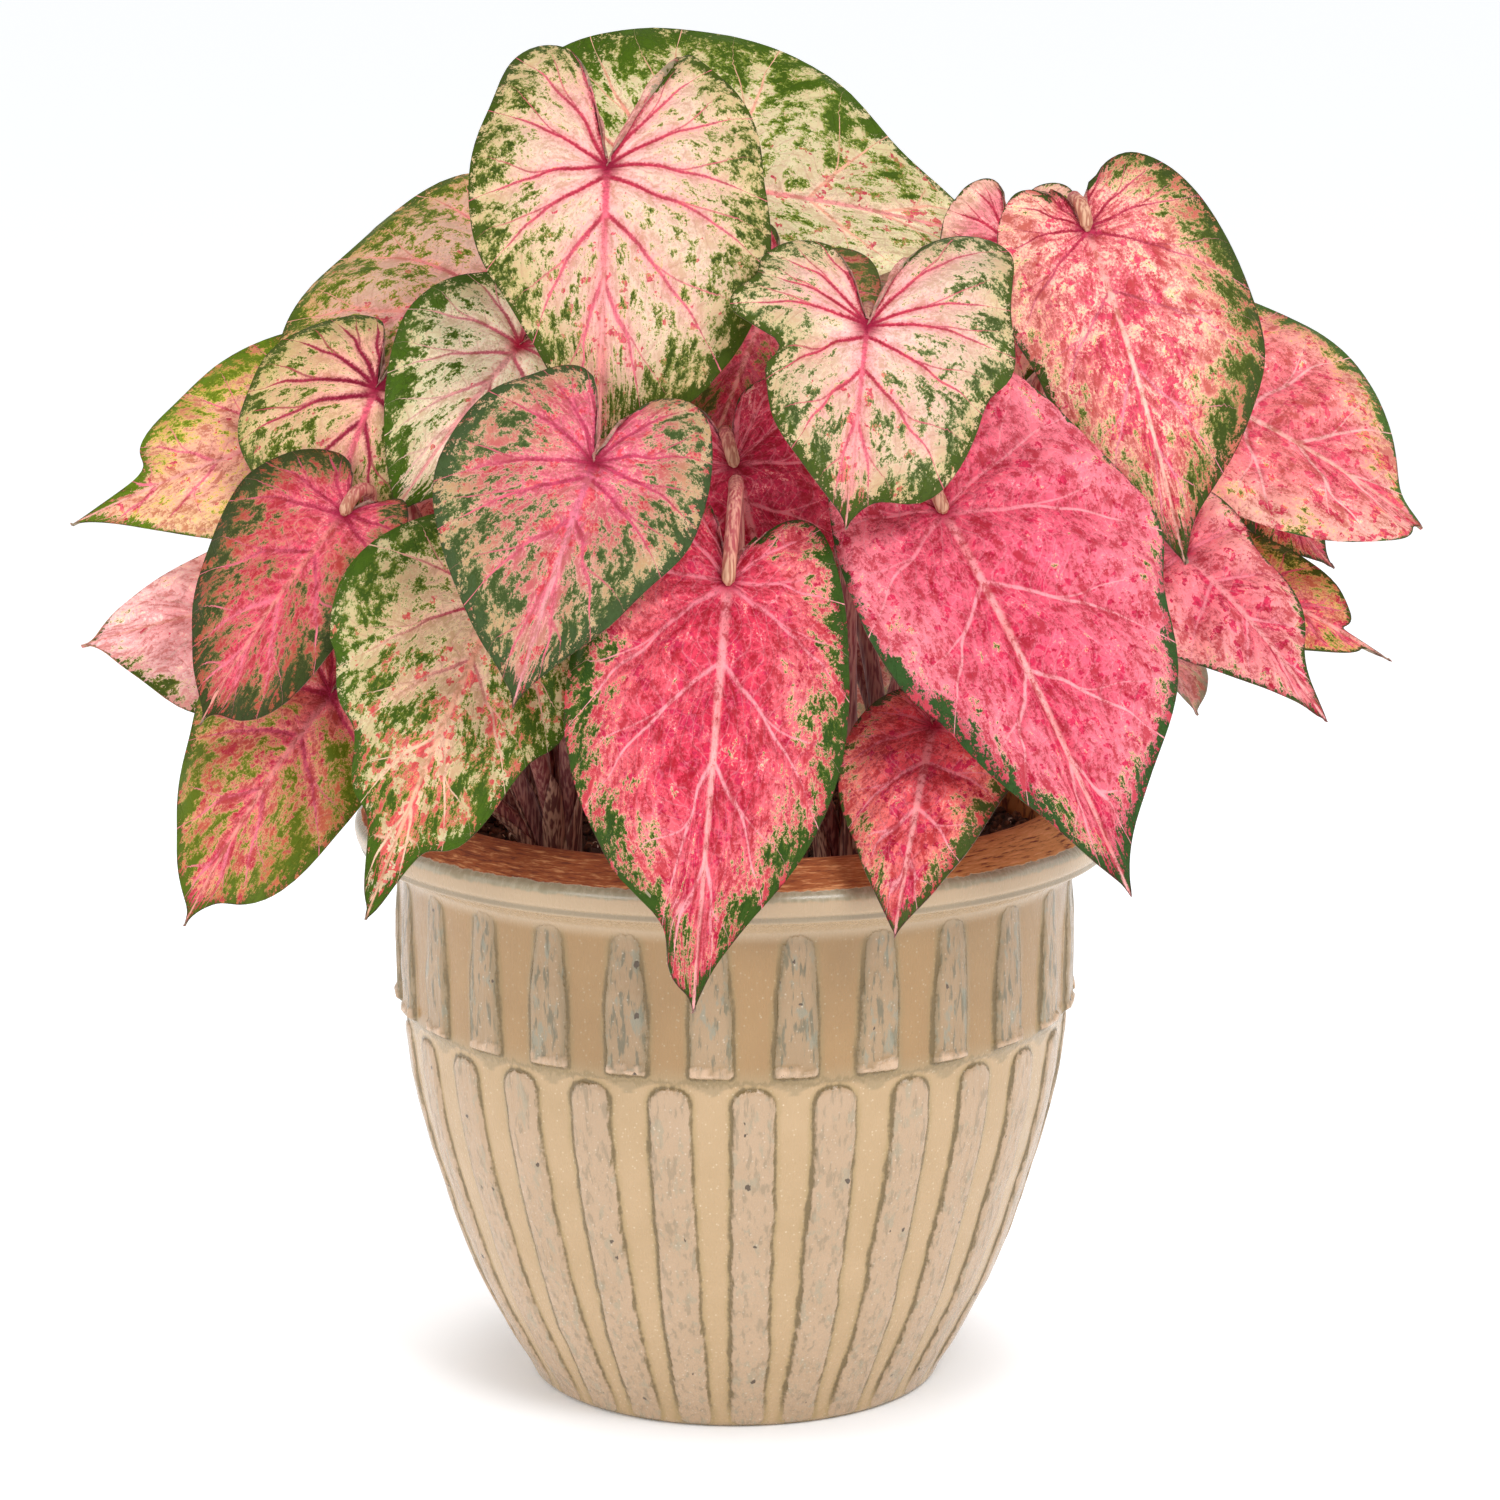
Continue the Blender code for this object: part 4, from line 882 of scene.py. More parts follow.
def bar_distance(turn, z, radius, bars, blunt, seed):
    """Distance outside the outline of a row's nearest bar (below zero inside), and the place across it."""
    middle, bottom, top, half = bars
    step = 360.0 / BARS
    number = np.round((turn - middle) / step)
    across = np.radians(turn - middle - number * step) * radius
    sway = lattice_noise(number + 40.5, z / 17 + 60, seed)
    across = across - 0.5 * sway
    half = half * np.sqrt(radius / 125.0) - 2.2 * smooth(*NARROWING, z)
    half += 0.5 * lattice_noise(number + 20.5, z / 9 + 30, seed + 1)
    top = top + 1.2 * lattice_noise(number + 5.5, z * 0 + 3.5, seed + 2)
    corner = np.where(z > (bottom + top) / 2, half * 0.85, blunt)
    beside = abs(across) - half + corner
    above = abs(z - (bottom + top) / 2) - (top - bottom) / 2 + corner
    outside = np.hypot(np.maximum(beside, 0), np.maximum(above, 0))
    return outside + np.minimum(np.maximum(beside, above), 0) - corner, across, number


def make_pot_mesh(material):
    """The pot turned from its profile, with bars, tabs and unevenness raised on its side."""
    profile = []
    last = len(POT_PROFILE) - 1
    for k, (start, end) in enumerate(zip(POT_PROFILE, POT_PROFILE[1:])):
        reach = math.hypot(end[0] - start[0], end[1] - start[1])
        spacing = 0.9 if CLOSE_FROM <= k <= CLOSE_TO and reach < 8 else 1.7
        steps = 1 if k == 0 or k > FLAT_INSIDE else max(1, round(reach / spacing))
        profile += [(k + i / steps) / last for i in range(steps)]
    profile = np.array(profile + [1.0])
    line = smooth_curve(POT_PROFILE, profile)
    plain = np.array(POT_PROFILE)
    ends = (profile * last < FLAT_BASE) | (profile * last > FLAT_INSIDE)
    for k in (0, 1):
        straight = np.interp(profile * last, np.arange(len(plain)), plain[:, k])
        line[:, k] = np.where(ends, straight, line[:, k])
    lengths = np.concatenate([[0], np.cumsum(np.hypot(*np.diff(line, axis=0).T))])
    glazed = lengths[np.argmin(np.hypot(line[:, 0] - GLAZE_ENDS[0], line[:, 1] - GLAZE_ENDS[1]))]
    turn = np.repeat(np.arange(POT_COLUMNS) * 360.0 / POT_COLUMNS - 180.0, len(line))
    radius, z = np.tile(line[:, 0], POT_COLUMNS), np.tile(line[:, 1], POT_COLUMNS)
    past_glaze = np.tile(lengths - glazed, POT_COLUMNS)
    outside = past_glaze < -4
    upper, upper_across, number = bar_distance(turn, z, radius, UPPER_BARS, 0.8, 11)
    lower, lower_across, _ = bar_distance(turn, z, radius, LOWER_BARS, 3.0, 21)
    upper = np.where(outside, upper, NO_BAR)
    lower = np.where(outside & (z < BAND_FOOT), lower, NO_BAR)
    knobbly = lattice_noise((turn + 180) * 1.6, z / 5 + 9, 31, 576)
    drips = z + 1.8 * lattice_noise((turn + 180) * 1.1, z * 0 + 5, 37, 396)
    tab = smooth(TAB_TOP + 0.4, TAB_TOP - 0.6, drips) * smooth(*TAB_FOOT, z) * (upper < 0.6)
    flatter = 1 - 0.7 * smooth(*FLATTENING, z)
    rise = UPPER_RELIEF * smooth(1.0, -1.2, upper) * (1 + 0.1 * knobbly) * flatter
    rise += tab * smooth(0.8, -0.6, upper) * (0.9 + 0.5 * lattice_noise(number + 9.5, z / 3, 33))
    rise += LOWER_RELIEF * smooth(0.9, -1.3, lower) * smooth(2, 16, z) * (1 + 0.12 * knobbly)
    throwing = 0.12 * lattice_noise((turn + 180) / 20, z / 7 + 3, 35, 18) * outside
    radius = radius + rise + throwing
    angle = np.radians(turn - 90.0)
    points = np.stack([radius * np.cos(angle), radius * np.sin(angle), z], 1)
    points[np.tile((line[:, 0] < 1e-6), POT_COLUMNS), :2] = 0.0
    nearest = np.minimum(upper, lower)
    side = np.where(upper < lower, upper_across, lower_across)
    facts = {
        "glaze": np.stack([nearest, past_glaze, np.clip(side / 4, -1, 1)], 1),
        "row": np.stack([tab, (upper < lower) * 1.0, z], 1),
    }
    faces = grid_faces(POT_COLUMNS, len(line), True)
    pot = write_mesh("glazed_pot", points, faces, material, facts)
    weld(pot)
    return pot


def weld(piece):
    """Joins points that lie on each other, such as those of a pole."""
    work = bmesh.new()
    work.from_mesh(piece.data)
    bmesh.ops.remove_doubles(work, verts=work.verts, dist=1e-7)
    bmesh.ops.recalc_face_normals(work, faces=work.faces)
    work.to_mesh(piece.data)
    work.free()


def pot_material():
    """Stoneware under a glossy ash glaze that ran off the bars and pooled. Its lip is bare clay."""
    material, tree = new_material("ash glazed stoneware")
    place = place_in_mm(tree)
    (to_bar, past_glaze, beside), (on_tab, is_upper, z) = read_vectors(tree, "glaze", "row")
    clouds = add(tree, "TexNoise", {"Vector": place, "Scale": 0.05, "Detail": 3.0})
    grain = add(tree, "TexNoise", {"Vector": place, "Scale": 0.8, "Detail": 2.0})
    runs = add(tree, "VectorMath", {0: place, 1: (1.0, 1.0, 0.22)}, operation="MULTIPLY")
    runs = add(tree, "TexNoise", {"Vector": runs, "Scale": 0.45, "Detail": 3.0, "Roughness": 0.6})
    stains = add(tree, "VectorMath", {0: place, 1: (1.0, 1.0, 0.45)}, operation="MULTIPLY")
    stains = add(tree, "TexNoise", {"Vector": stains, "Scale": 0.22, "Detail": 3.0, "Roughness": 0.65})
    specks = add(tree, "TexVoronoi", {"Vector": place, "Scale": 0.45})
    specks = add(tree, "MapRange", {0: specks, 1: 0.2, 2: 0.1}, **SOFT)
    specks = add(tree, "Math", {0: specks, 1: grain}, operation="MULTIPLY")

    # The ground between the bars is yellower and darker on the band, the darkness painted shade of the
    # foliage above. The bars are greyer, with runs, stains and chips.
    band_tint_and_shade = add(tree, "MapRange", {0: z, 1: 140.0, 2: 152.0}, **SOFT)
    band = layered(tree, "#A87A4A", (clouds, "#BE9260"))
    panel = layered(tree, "#AE9169", (clouds, "#C0A27D"), (band_tint_and_shade, band), (specks, "#E0CBAA"))
    # The upper bars are darker than the lower ones, painted shade of the foliage above.
    upper_bar_in_shade = layered(tree, "#967A58", (clouds, "#AE9272"))
    dark_runs = add(tree, "MapRange", {0: runs, 1: 0.52, 2: 0.64, 4: 0.8}, **SOFT)
    more = add(tree, "MapRange", {0: is_upper, 3: 0.45, 4: 1.0})
    dark_runs = add(tree, "Math", {0: dark_runs, 1: more}, operation="MULTIPLY")
    pale_runs = add(tree, "MapRange", {0: stains, 1: 0.54, 2: 0.66, 4: 0.7}, **SOFT)
    stained = layered(tree, "#A1947B", (is_upper, "#8B8A78"))
    chips = add(tree, "Math", {0: specks, 1: stains}, operation="MULTIPLY")
    bar = layered(tree, "#AC9071", (clouds, "#BEA184"), (is_upper, upper_bar_in_shade), (dark_runs, "#6A6550"),
                  (pale_runs, stained), (chips, "#F0E2CC"))

    # Glaze pools beside each bar, and a dark line runs along its edge.
    ragged = add(tree, "Math", {0: grain, 1: 1.2, 2: -0.6}, operation="MULTIPLY_ADD")
    ragged = add(tree, "Math", {0: runs, 1: 2.8, 2: ragged}, operation="MULTIPLY_ADD")
    ragged = add(tree, "Math", {0: ragged, 1: -1.4}, operation="ADD")
    edge = add(tree, "Math", {0: to_bar, 1: ragged}, operation="ADD")
    on_bar = add(tree, "MapRange", {0: edge, 1: 0.6, 2: -0.4}, **SOFT)
    pool = add(tree, "MapRange", {0: edge, 1: 3.4, 2: 0.2, 4: 0.55}, **SOFT)
    # Just inside the edge of each upper bar a soft painted shade darkens it.
    inner_shade = add(tree, "MapRange", {0: edge, 1: -2.8, 2: -0.4, 4: 0.4}, **SOFT)
    inner_shade = add(tree, "Math", {0: inner_shade, 1: is_upper}, operation="MULTIPLY")
    off_line = add(tree, "Math", {0: to_bar, 1: -0.5}, operation="ADD")
    off_line = add(tree, "Math", {0: off_line}, operation="ABSOLUTE")
    line_width = add(tree, "MapRange", {0: beside, 1: -1.0, 2: 1.0, 3: 1.1, 4: 0.75})
    line_width = add(tree, "Math", {0: line_width, 1: ragged}, operation="ADD")
    line = add(tree, "Math", {0: line_width, 1: off_line}, operation="SUBTRACT")
    line = add(tree, "MapRange", {0: line, 1: -0.3, 2: 1.0, 4: 0.85}, **SOFT)
    above_base = add(tree, "MapRange", {0: z, 1: 3.0, 2: 14.0}, **SOFT)
    line = add(tree, "Math", {0: line, 1: above_base}, operation="MULTIPLY")
    below_top = add(tree, "MapRange", {0: z, 1: 180.0, 2: 197.0, 3: 1.0, 4: 0.3})
    line = add(tree, "Math", {0: line, 1: below_top}, operation="MULTIPLY")

    # Tabs, the ledge under them, the cove and ridge below the lip, and the edge of the glaze on the lip.
    tab = add(tree, "MapRange", {0: stains, 1: 0.35, 2: 0.6, 3: 0.3, 4: 1.0})
    tab = add(tree, "Math", {0: tab, 1: on_tab}, operation="MULTIPLY")
    tab = add(tree, "Math", {0: tab, 1: on_bar}, operation="MULTIPLY")
    ledge = add(tree, "Math", {0: runs, 1: 9.0, 2: z}, operation="MULTIPLY_ADD")
    ledge = add(tree, "Math", {0: ledge, 1: -LEDGE_LINE}, operation="ADD")
    ledge = add(tree, "Math", {0: ledge}, operation="ABSOLUTE")
    ledge = add(tree, "MapRange", {0: ledge, 1: 1.5, 2: 0.3, 4: 0.55}, **SOFT)
    cove = add(tree, "MapRange", {0: z, 1: 194.0, 2: 199.0}, **SOFT)
    ridge = add(tree, "Math", {0: z, 1: -RIDGE_LINE}, operation="ADD")
    ridge = add(tree, "Math", {0: ridge}, operation="ABSOLUTE")
    ridge = add(tree, "MapRange", {0: ridge, 1: 1.8, 2: 0.2, 4: 0.7}, **SOFT)
    bare_edge = add(tree, "Math", {0: stains, 1: 3.0, 2: past_glaze}, operation="MULTIPLY_ADD")
    pooled = add(tree, "MapRange", {0: bare_edge, 1: -3.4, 2: -2.2}, **SOFT)
    olive = layered(tree, "#857A5F", (runs, "#B8AC92"))

    # Bare clay, its throwing marks running round the lip.
    axes = add(tree, "SeparateXYZ", {0: place}).node.outputs
    flat = add(tree, "CombineXYZ", {0: axes[0], 1: axes[1]})
    radius = add(tree, "VectorMath", {0: flat}, operation="LENGTH", output="Value")
    flat = add(tree, "VectorMath", {0: flat, 3: 0.12}, operation="SCALE")
    rings = add(tree, "CombineXYZ", {2: radius})
    rings = add(tree, "VectorMath", {0: flat, 1: rings}, operation="ADD")
    fibres = add(tree, "TexNoise", {"Vector": rings, "Scale": 0.9, "Detail": 3.0, "Roughness": 0.7})
    # Towards the right the clay is painted lighter and more orange, painted light from the lamp on that
    # side; the darker left is painted shade of the leaves.
    painted_light_on_right = add(tree, "MapRange", {0: axes[0], 1: 10.0, 2: 110.0}, **SOFT)
    light = add(tree, "MapRange", {0: fibres, 1: 0.5, 2: 0.7}, **SOFT)
    dark = add(tree, "MapRange", {0: fibres, 1: 0.48, 2: 0.32}, **SOFT)
    clay = layered(tree, "#8E4520", (clouds, "#B0602F"), (painted_light_on_right, "#D08E50"), (light, "#E0A06A"),
                   (dark, "#74351C"))
    bare = add(tree, "MapRange", {0: bare_edge, 1: 1.2, 2: 1.9}, **SOFT)

    pits = add(tree, "TexVoronoi", {"Vector": place, "Scale": 0.14})
    pit_cut = add(tree, "MapRange", {0: stains, 1: 0.5, 2: 0.75, 3: 0.0, 4: 0.3})
    pits = add(tree, "Math", {0: pits, 1: pit_cut}, operation="LESS_THAN")
    pits = add(tree, "Math", {0: pits, 1: on_bar}, operation="MULTIPLY")
    not_bare = add(tree, "Math", {0: 1.0, 1: bare}, operation="SUBTRACT")
    pits = add(tree, "Math", {0: pits, 1: not_bare}, operation="MULTIPLY")
    colour = layered(
        tree, panel, (pool, "#97804F"), (on_bar, bar), (inner_shade, "#7D7152"), (line, "#65522E"),
        (tab, "#C8A88A"), (ledge, "#84704A"), (cove, "#B59B7B"), (ridge, "#8E8068"), (pooled, olive),
        (bare, clay), (pits, "#5A4A3A"))
    rough = add(tree, "MapRange", {0: runs, 1: 0.3, 2: 0.7, 3: 0.16, 4: 0.36})
    rough = add(tree, "Mix", {0: bare, 2: rough, 3: 0.85}, data_type="FLOAT")
    lumps = weighted(tree, 0.0, (runs, on_bar), (fibres, bare), (pits, -0.6))
    bump = add(tree, "Bump", {"Strength": 0.7, "Distance": 0.0008, "Height": lumps})
    return finished(material, Base_Color=colour, Roughness=rough, Normal=bump, IOR=1.5)


keep(make_pot_mesh(pot_material()), "glazed_clay", "pot")


# Potting mix: a lumpy bed, with bark crumbs and perlite scattered over it

SOIL_RADIUS = 115.8
SOIL_HEIGHT = 206.0
SOIL_FOOT = 180.0
SWELL, SWELL_LENGTH = 1.6, 14
MOUND, MOUND_REACH = 5.0, 20.0
# Grains: how many in a square metre, their smallest and largest radius, seed, dark and light colour.
GRAINS = {
    "bark_crumbs": (30000.0, 1.0, 3.2, 5, "#1C100B", "#6B4630"),
    "bark_chips": (3500.0, 2.6, 5.5, 8, "#2A1710", "#8A5F42"),
    "perlite": (5200.0, 0.9, 2.2, 6, "#D9C6AE", "#FAF1E2"),
}


def soil_material():
    """Damp peat and bark: nearly black, crumbly and matt."""
    material, tree = new_material("damp potting mix")
    place = place_in_mm(tree)
    lumps = add(tree, "TexNoise", {"Vector": place, "Scale": 0.35, "Detail": 4.0, "Roughness": 0.7})
    colour = layered(tree, "#1E120D", (lumps, "#5A3A28"))
    bump = add(tree, "Bump", {"Strength": 1.0, "Distance": 0.002, "Height": lumps})
    return finished(material, Base_Color=colour, Roughness=0.92, Normal=bump)


def grain_material(name, dark, light):
    """Loose grains, each part of them a little lighter or darker, with a rough broken face."""
    material, tree = new_material(name)
    tone = add(tree, "TexNoise", {"Vector": place_in_mm(tree), "Scale": 0.3, "Detail": 2.0})
    tone = add(tree, "MapRange", {0: tone, 1: 0.35, 2: 0.65}, **SOFT)
    return finished(material, Base_Color=layered(tree, dark, (tone, light)), Roughness=0.85)


def soil_disc(columns, rows, inner, outer):
    """Places on the soil, spoke by spoke."""
    turn = np.repeat(np.arange(columns) * 2 * math.pi / columns, rows)
    radius = np.tile(np.linspace(inner, outer, rows), columns)
    return radius * np.cos(turn), radius * np.sin(turn), radius


def soil_swell(x, y, height):
    """The height of the soil between the tubers, which rises and sinks a little."""
    return height + SWELL * lattice_noise(x / SWELL_LENGTH + 50, y / SWELL_LENGTH + 50, 3)


def mounded(x, y, z):
    """Heaps the soil up round each tuber."""
    for tuber in TUBERS.values():
        z = z + MOUND * np.exp(-((x - tuber[0]) ** 2 + (y - tuber[1]) ** 2) / MOUND_REACH**2)
    return z


def make_soil_bed(material):
    """A closed bed: its lumpy top, a plain side and a flat foot."""
    columns, rows = 96, 34
    x, y, radius = soil_disc(columns, rows, 0, SOIL_RADIUS)
    z = soil_swell(x, y, SOIL_HEIGHT) + lattice_noise(x / 5 + 90, y / 5 + 90, 4)
    z = np.where(radius > SOIL_RADIUS - 1, SOIL_HEIGHT - 3, mounded(x, y, z))
    foot = np.stack([x, y, np.full_like(x, SOIL_FOOT)], 1)
    top = np.stack([x, y, z], 1)
    points = np.concatenate([top.reshape(columns, rows, 3), foot.reshape(columns, rows, 3)[:, ::-1]], 1)
    faces = [face[::-1] for face in grid_faces(columns, 2 * rows, True)]
    bed = write_mesh("soil_bed", points.reshape(-1, 3), faces, material)
    weld(bed)
    return bed


def grain_tree():
    """Scatters rough grains over a surface. Density is how many there are in a square metre."""
    tree, given = new_group(
        "scattered grains", "GeometryNodeTree",
        {"Surface": "Geometry", "Density": "Float", "Smallest": "Float", "Largest": "Float", "Seed": "Int",
         "Material": "Material"}, {"Grains": "Geometry"})
    seed = {"Seed": given["Seed"]}
    spots = add(tree, "GeometryNodeDistributePointsOnFaces",
                {"Mesh": given["Surface"], "Density": given["Density"], **seed})
    ball = add(tree, "GeometryNodeMeshIcoSphere", {"Radius": 1.0, "Subdivisions": 2})
    turns = add(tree, "FunctionNodeRandomValue", {0: (0.0, 0.0, 0.0), 1: (6.28, 6.28, 6.28), **seed},
                data_type="FLOAT_VECTOR")
    size = add(tree, "FunctionNodeRandomValue", {2: given["Smallest"], 3: given["Largest"], **seed},
               output=1, data_type="FLOAT")
    shape = add(tree, "FunctionNodeRandomValue", {0: (0.5, 0.35, 0.3), 1: (1.0, 0.8, 0.6), **seed},
                data_type="FLOAT_VECTOR")
    scale = add(tree, "VectorMath", {0: shape, 3: size}, operation="SCALE")
    grains = add(tree, "GeometryNodeInstanceOnPoints", {"Points": spots, "Instance": ball, "Rotation": turns,
                                                        "Scale": scale})
    grains = add(tree, "GeometryNodeRealizeInstances", {0: grains})
    rough = add(tree, "TexNoise", {"Scale": 900.0, "Detail": 1.0}, output="Color")
    rough = add(tree, "VectorMath", {0: rough, 1: (0.5, 0.5, 0.5)}, operation="SUBTRACT")
    rough = add(tree, "VectorMath", {0: rough, 3: given["Smallest"]}, operation="SCALE")
    grains = add(tree, "GeometryNodeSetPosition", {"Geometry": grains, "Offset": rough})
    grains = add(tree, "GeometryNodeSetMaterial", {"Geometry": grains, "Material": given["Material"]})
    add(tree, "NodeGroupOutput", {"Grains": grains})
    return tree


def grown(name, source, tree, values):
    """What a geometry tree makes of an object, as a plain mesh of its own."""
    modifier = source.modifiers.new(name, "NODES")
    modifier.node_group = tree
    sockets = {item.name: item.identifier for item in tree.interface.items_tree if item.in_out == "INPUT"}
    for key, value in values.items():
        modifier[sockets[key]] = value
    bpy.context.view_layer.update()
    graph = bpy.context.evaluated_depsgraph_get()
    mesh = bpy.data.meshes.new_from_object(source.evaluated_get(graph))
    source.modifiers.remove(modifier)
    return new_object(name, mesh)


def scatter_patch():
    """The part of the bed's top that grains lie on: a disc of loose faces that is removed afterwards."""
    columns, rows = 48, 20
    x, y, _ = soil_disc(columns, rows, 0.5, SOIL_RADIUS - 4)
    z = mounded(x, y, soil_swell(x, y, SOIL_HEIGHT + 0.6))
    faces = [face[::-1] for face in grid_faces(columns, rows, True)]
    return write_mesh("patch", np.stack([x, y, z], 1), faces, SOIL)


SOIL = soil_material()
keep(make_soil_bed(SOIL), "potting_soil", "soil")
patch = scatter_patch()
scattered = grain_tree()
for name, (density, small, large, seed, dark, light) in GRAINS.items():
    grains = grown(name, patch, scattered, {
        "Density": density, "Smallest": small * MM, "Largest": large * MM, "Seed": seed,
        "Material": grain_material(name, dark, light)})
    keep(grains, "potting_soil")
bpy.data.objects.remove(patch, do_unlink=True)


# Leaf stems and the sheaths round their feet

STEM_STATIONS = 22
STEM_FOOT_RADIUS, STEM_TOP_RADIUS = 3.6, 2.4
STEM_SIDES = 12
# How many of its last stations a stem gives up where it bends over, and how close it comes to its blade.
BENT_STATIONS = 6
STEM_CLOSE = 0.4
SHEATH_ROWS, SHEATH_COLUMNS = 14, 11
SHEATH_RADIUS = 4.4
SHEATH_HEIGHTS = (34, 62)
SHEATH_LEANS = (1, 4)
SHEATH_WRAP = 150
SHEATH_WALL = 0.7
SHEATH_SUNK = 6


def stem_material():
    """Fleshy leaf stem: dull purple brown with fine lengthwise streaks, pinker towards the blade."""
    material, tree = new_material("caladium leaf stem")
    along = add(tree, "Attribute", output="Fac", attribute_name="along")
    streaks = add(tree, "VectorMath", {0: place_in_mm(tree), 1: (1.0, 1.0, 0.08)}, operation="MULTIPLY")
    streaks = add(tree, "TexNoise", {"Vector": streaks, "Scale": 1.1, "Detail": 2.0})
    streaks = add(tree, "MapRange", {0: streaks, 1: 0.4, 2: 0.62}, **SOFT)
    at_top = add(tree, "MapRange", {0: along, 1: 0.93, 2: 0.985, 4: 0.4}, **SOFT)
    brown = layered(tree, "#5B3132", (streaks, "#9A6A62"))
    rosy = layered(tree, "#B04A4E", (streaks, "#D8907E"))
    top = layered(tree, "#A8905C", (streaks, "#D9CC9C"))
    colour = layered(tree, brown, (along, rosy), (at_top, top))
    bump = add(tree, "Bump", {"Strength": 0.5, "Distance": 0.0004, "Height": streaks})
    return finished(material, Base_Color=colour, Roughness=0.42, Normal=bump, IOR=1.42)


def stem_tree():
    """Turns curves into tapering round stems, and notes on each point how far along its stem it is."""
    tree, given = new_group(
        "leaf stems", "GeometryNodeTree",
        {"Curves": "Geometry", "Foot radius": "Float", "Top radius": "Float", "Sides": "Int",
         "Material": "Material"}, {"Stems": "Geometry"})
    along = add(tree, "GeometryNodeSplineParameter", output="Factor")
    radius = add(tree, "MapRange", {0: along, 3: given["Foot radius"], 4: given["Top radius"]})
    rounding = add(tree, "MapRange", {0: along, 1: 0.99, 2: 1.0, 3: 1.0, 4: 0.3}, **SOFT)
    radius = add(tree, "Math", {0: radius, 1: rounding}, operation="MULTIPLY")
    curves = {"Geometry": given["Curves"], "Name": "along", "Value": along}
    curves = add(tree, "GeometryNodeStoreNamedAttribute", curves, data_type="FLOAT", domain="POINT")
    ring = add(tree, "GeometryNodeCurvePrimitiveCircle", {"Resolution": given["Sides"], "Radius": 1.0})
    stems = add(tree, "GeometryNodeCurveToMesh", {"Curve": curves, "Profile Curve": ring, "Scale": radius,
                                                  "Fill Caps": True})
    stems = add(tree, "GeometryNodeSetShadeSmooth", {"Geometry": stems})
    stems = add(tree, "GeometryNodeRealizeInstances", {0: stems})
    stems = add(tree, "GeometryNodeSetMaterial", {"Geometry": stems, "Material": given["Material"]})
    add(tree, "NodeGroupOutput", {"Stems": stems})
    return tree


# Ends of stems that show through the notch or stop behind it, as places along the blade and above it.
STEM_SHOWS = ("front_lowest", "right_top", "left_dark", "middle_pink", "front_right_large")
STEM_BEHIND = ("front_left_centre", "right_centre")
OVER = ((-11.0, -9.0), (-12.5, -2.0), (-9.0, 2.2), (-4.4, 3.0), (1.0, 1.6))
FAR_OVER = ((-36.0, -12.0), (-35.0, -3.0), (-28.0, 3.5), (-15.0, 4.4), (-4.4, 3.6), (1.5, 1.6))
BEHIND = ((-12.0, -9.0), (-8.0, -5.5), (-4.5, -3.0), (0.5, -1.2))


def stem_curves(tuber):
    """Stems end under the blade, or come through its notch and bend over on to its upper side."""
    curve = bpy.data.curves.new("paths_" + tuber, "CURVE")
    curve.dimensions = "3D"
    for name, blade in blades.items():
        if blade.tuber != tuber:
            continue
        path = blade.stem_path(STEM_STATIONS)[:-1]
        up, head = blade.stem_end()
        if name in STEM_SHOWS:
            over = FAR_OVER if name == "front_lowest" else OVER
            over = [path[-BENT_STATIONS]] + [head + blade.along * a + up * b for a, b in over]
            path = np.vstack([path[:-BENT_STATIONS], smooth_curve(over, np.linspace(0, 1, 24))])
        elif name in STEM_BEHIND:
            path = np.vstack([path[:-BENT_STATIONS]] + [head + blade.along * a + up * b for a, b in BEHIND])
        else:
            path = np.vstack([path, head - up * STEM_CLOSE])
        line = curve.splines.new("POLY")
        line.points.add(len(path) - 1)
        for point, place in zip(line.points, path):
            point.co = (*(place * MM), 1.0)
    return new_object(curve.name, curve)


def sheath_points(path, height, lean, seed):
    """A leafy sheath that wraps the foot of a stem and ends in a free point."""
    spin = random.Random(seed).uniform(0, 2 * math.pi)
    points = []
    for i in range(SHEATH_ROWS):
        t = i / (SHEATH_ROWS - 1)
        z = path[0][2] - SHEATH_SUNK + t * height
        centre = np.array([np.interp(z, path[:, 2], path[:, k]) for k in range(3)])
        centre[2] = z
        centre[:2] += lean * t**2 * np.array([math.cos(spin), math.sin(spin)])
        radius = SHEATH_RADIUS * (1.25 - 0.35 * t)
        wrap = math.radians(SHEATH_WRAP) * (1 - t**2.2) + 0.04
        for j in range(SHEATH_COLUMNS):
            angle = spin + wrap * (2 * j / (SHEATH_COLUMNS - 1) - 1)
            points.append(centre + radius * np.array([math.cos(angle), math.sin(angle), 0]))
    return np.array(points)


def make_sheaths(tuber, material):
    """The sheaths of all the stems of a tuber, as one piece with a thin wall."""
    place, faces = [], []
    for k, blade in enumerate(b for b in blades.values() if b.tuber == tuber):
        path = blade.stem_path(STEM_STATIONS)
        path = path[: int(np.argmax(path[:, 2])) + 1]
        draw = random.Random(900 + k * 7 + len(tuber))
        points = sheath_points(path, draw.uniform(*SHEATH_HEIGHTS), draw.uniform(*SHEATH_LEANS), 70 + k)
        offset = sum(len(p) for p in place)
        faces += [tuple(offset + v for v in face) for face in grid_faces(SHEATH_ROWS, SHEATH_COLUMNS, False)]
        place.append(points)
    piece = write_mesh("sheaths_" + tuber, np.vstack(place), faces, material)
    wall = piece.modifiers.new("Wall", "SOLIDIFY")
    wall.thickness = SHEATH_WALL * MM
    wall.offset = 1.0
    return piece


def sheath_material():
    """Papery sheath: pale buff and pink with brown lengthwise stripes."""
    material, tree = new_material("caladium sheath")
    stripes = add(tree, "VectorMath", {0: place_in_mm(tree), 1: (1.0, 1.0, 0.06)}, operation="MULTIPLY")
    stripes = add(tree, "TexNoise", {"Vector": stripes, "Scale": 0.9, "Detail": 2.0})
    stripes = add(tree, "MapRange", {0: stripes, 1: 0.42, 2: 0.6}, **SOFT)
    return finished(material, Base_Color=layered(tree, "#6E3F38", (stripes, "#C79C84")), Roughness=0.5)


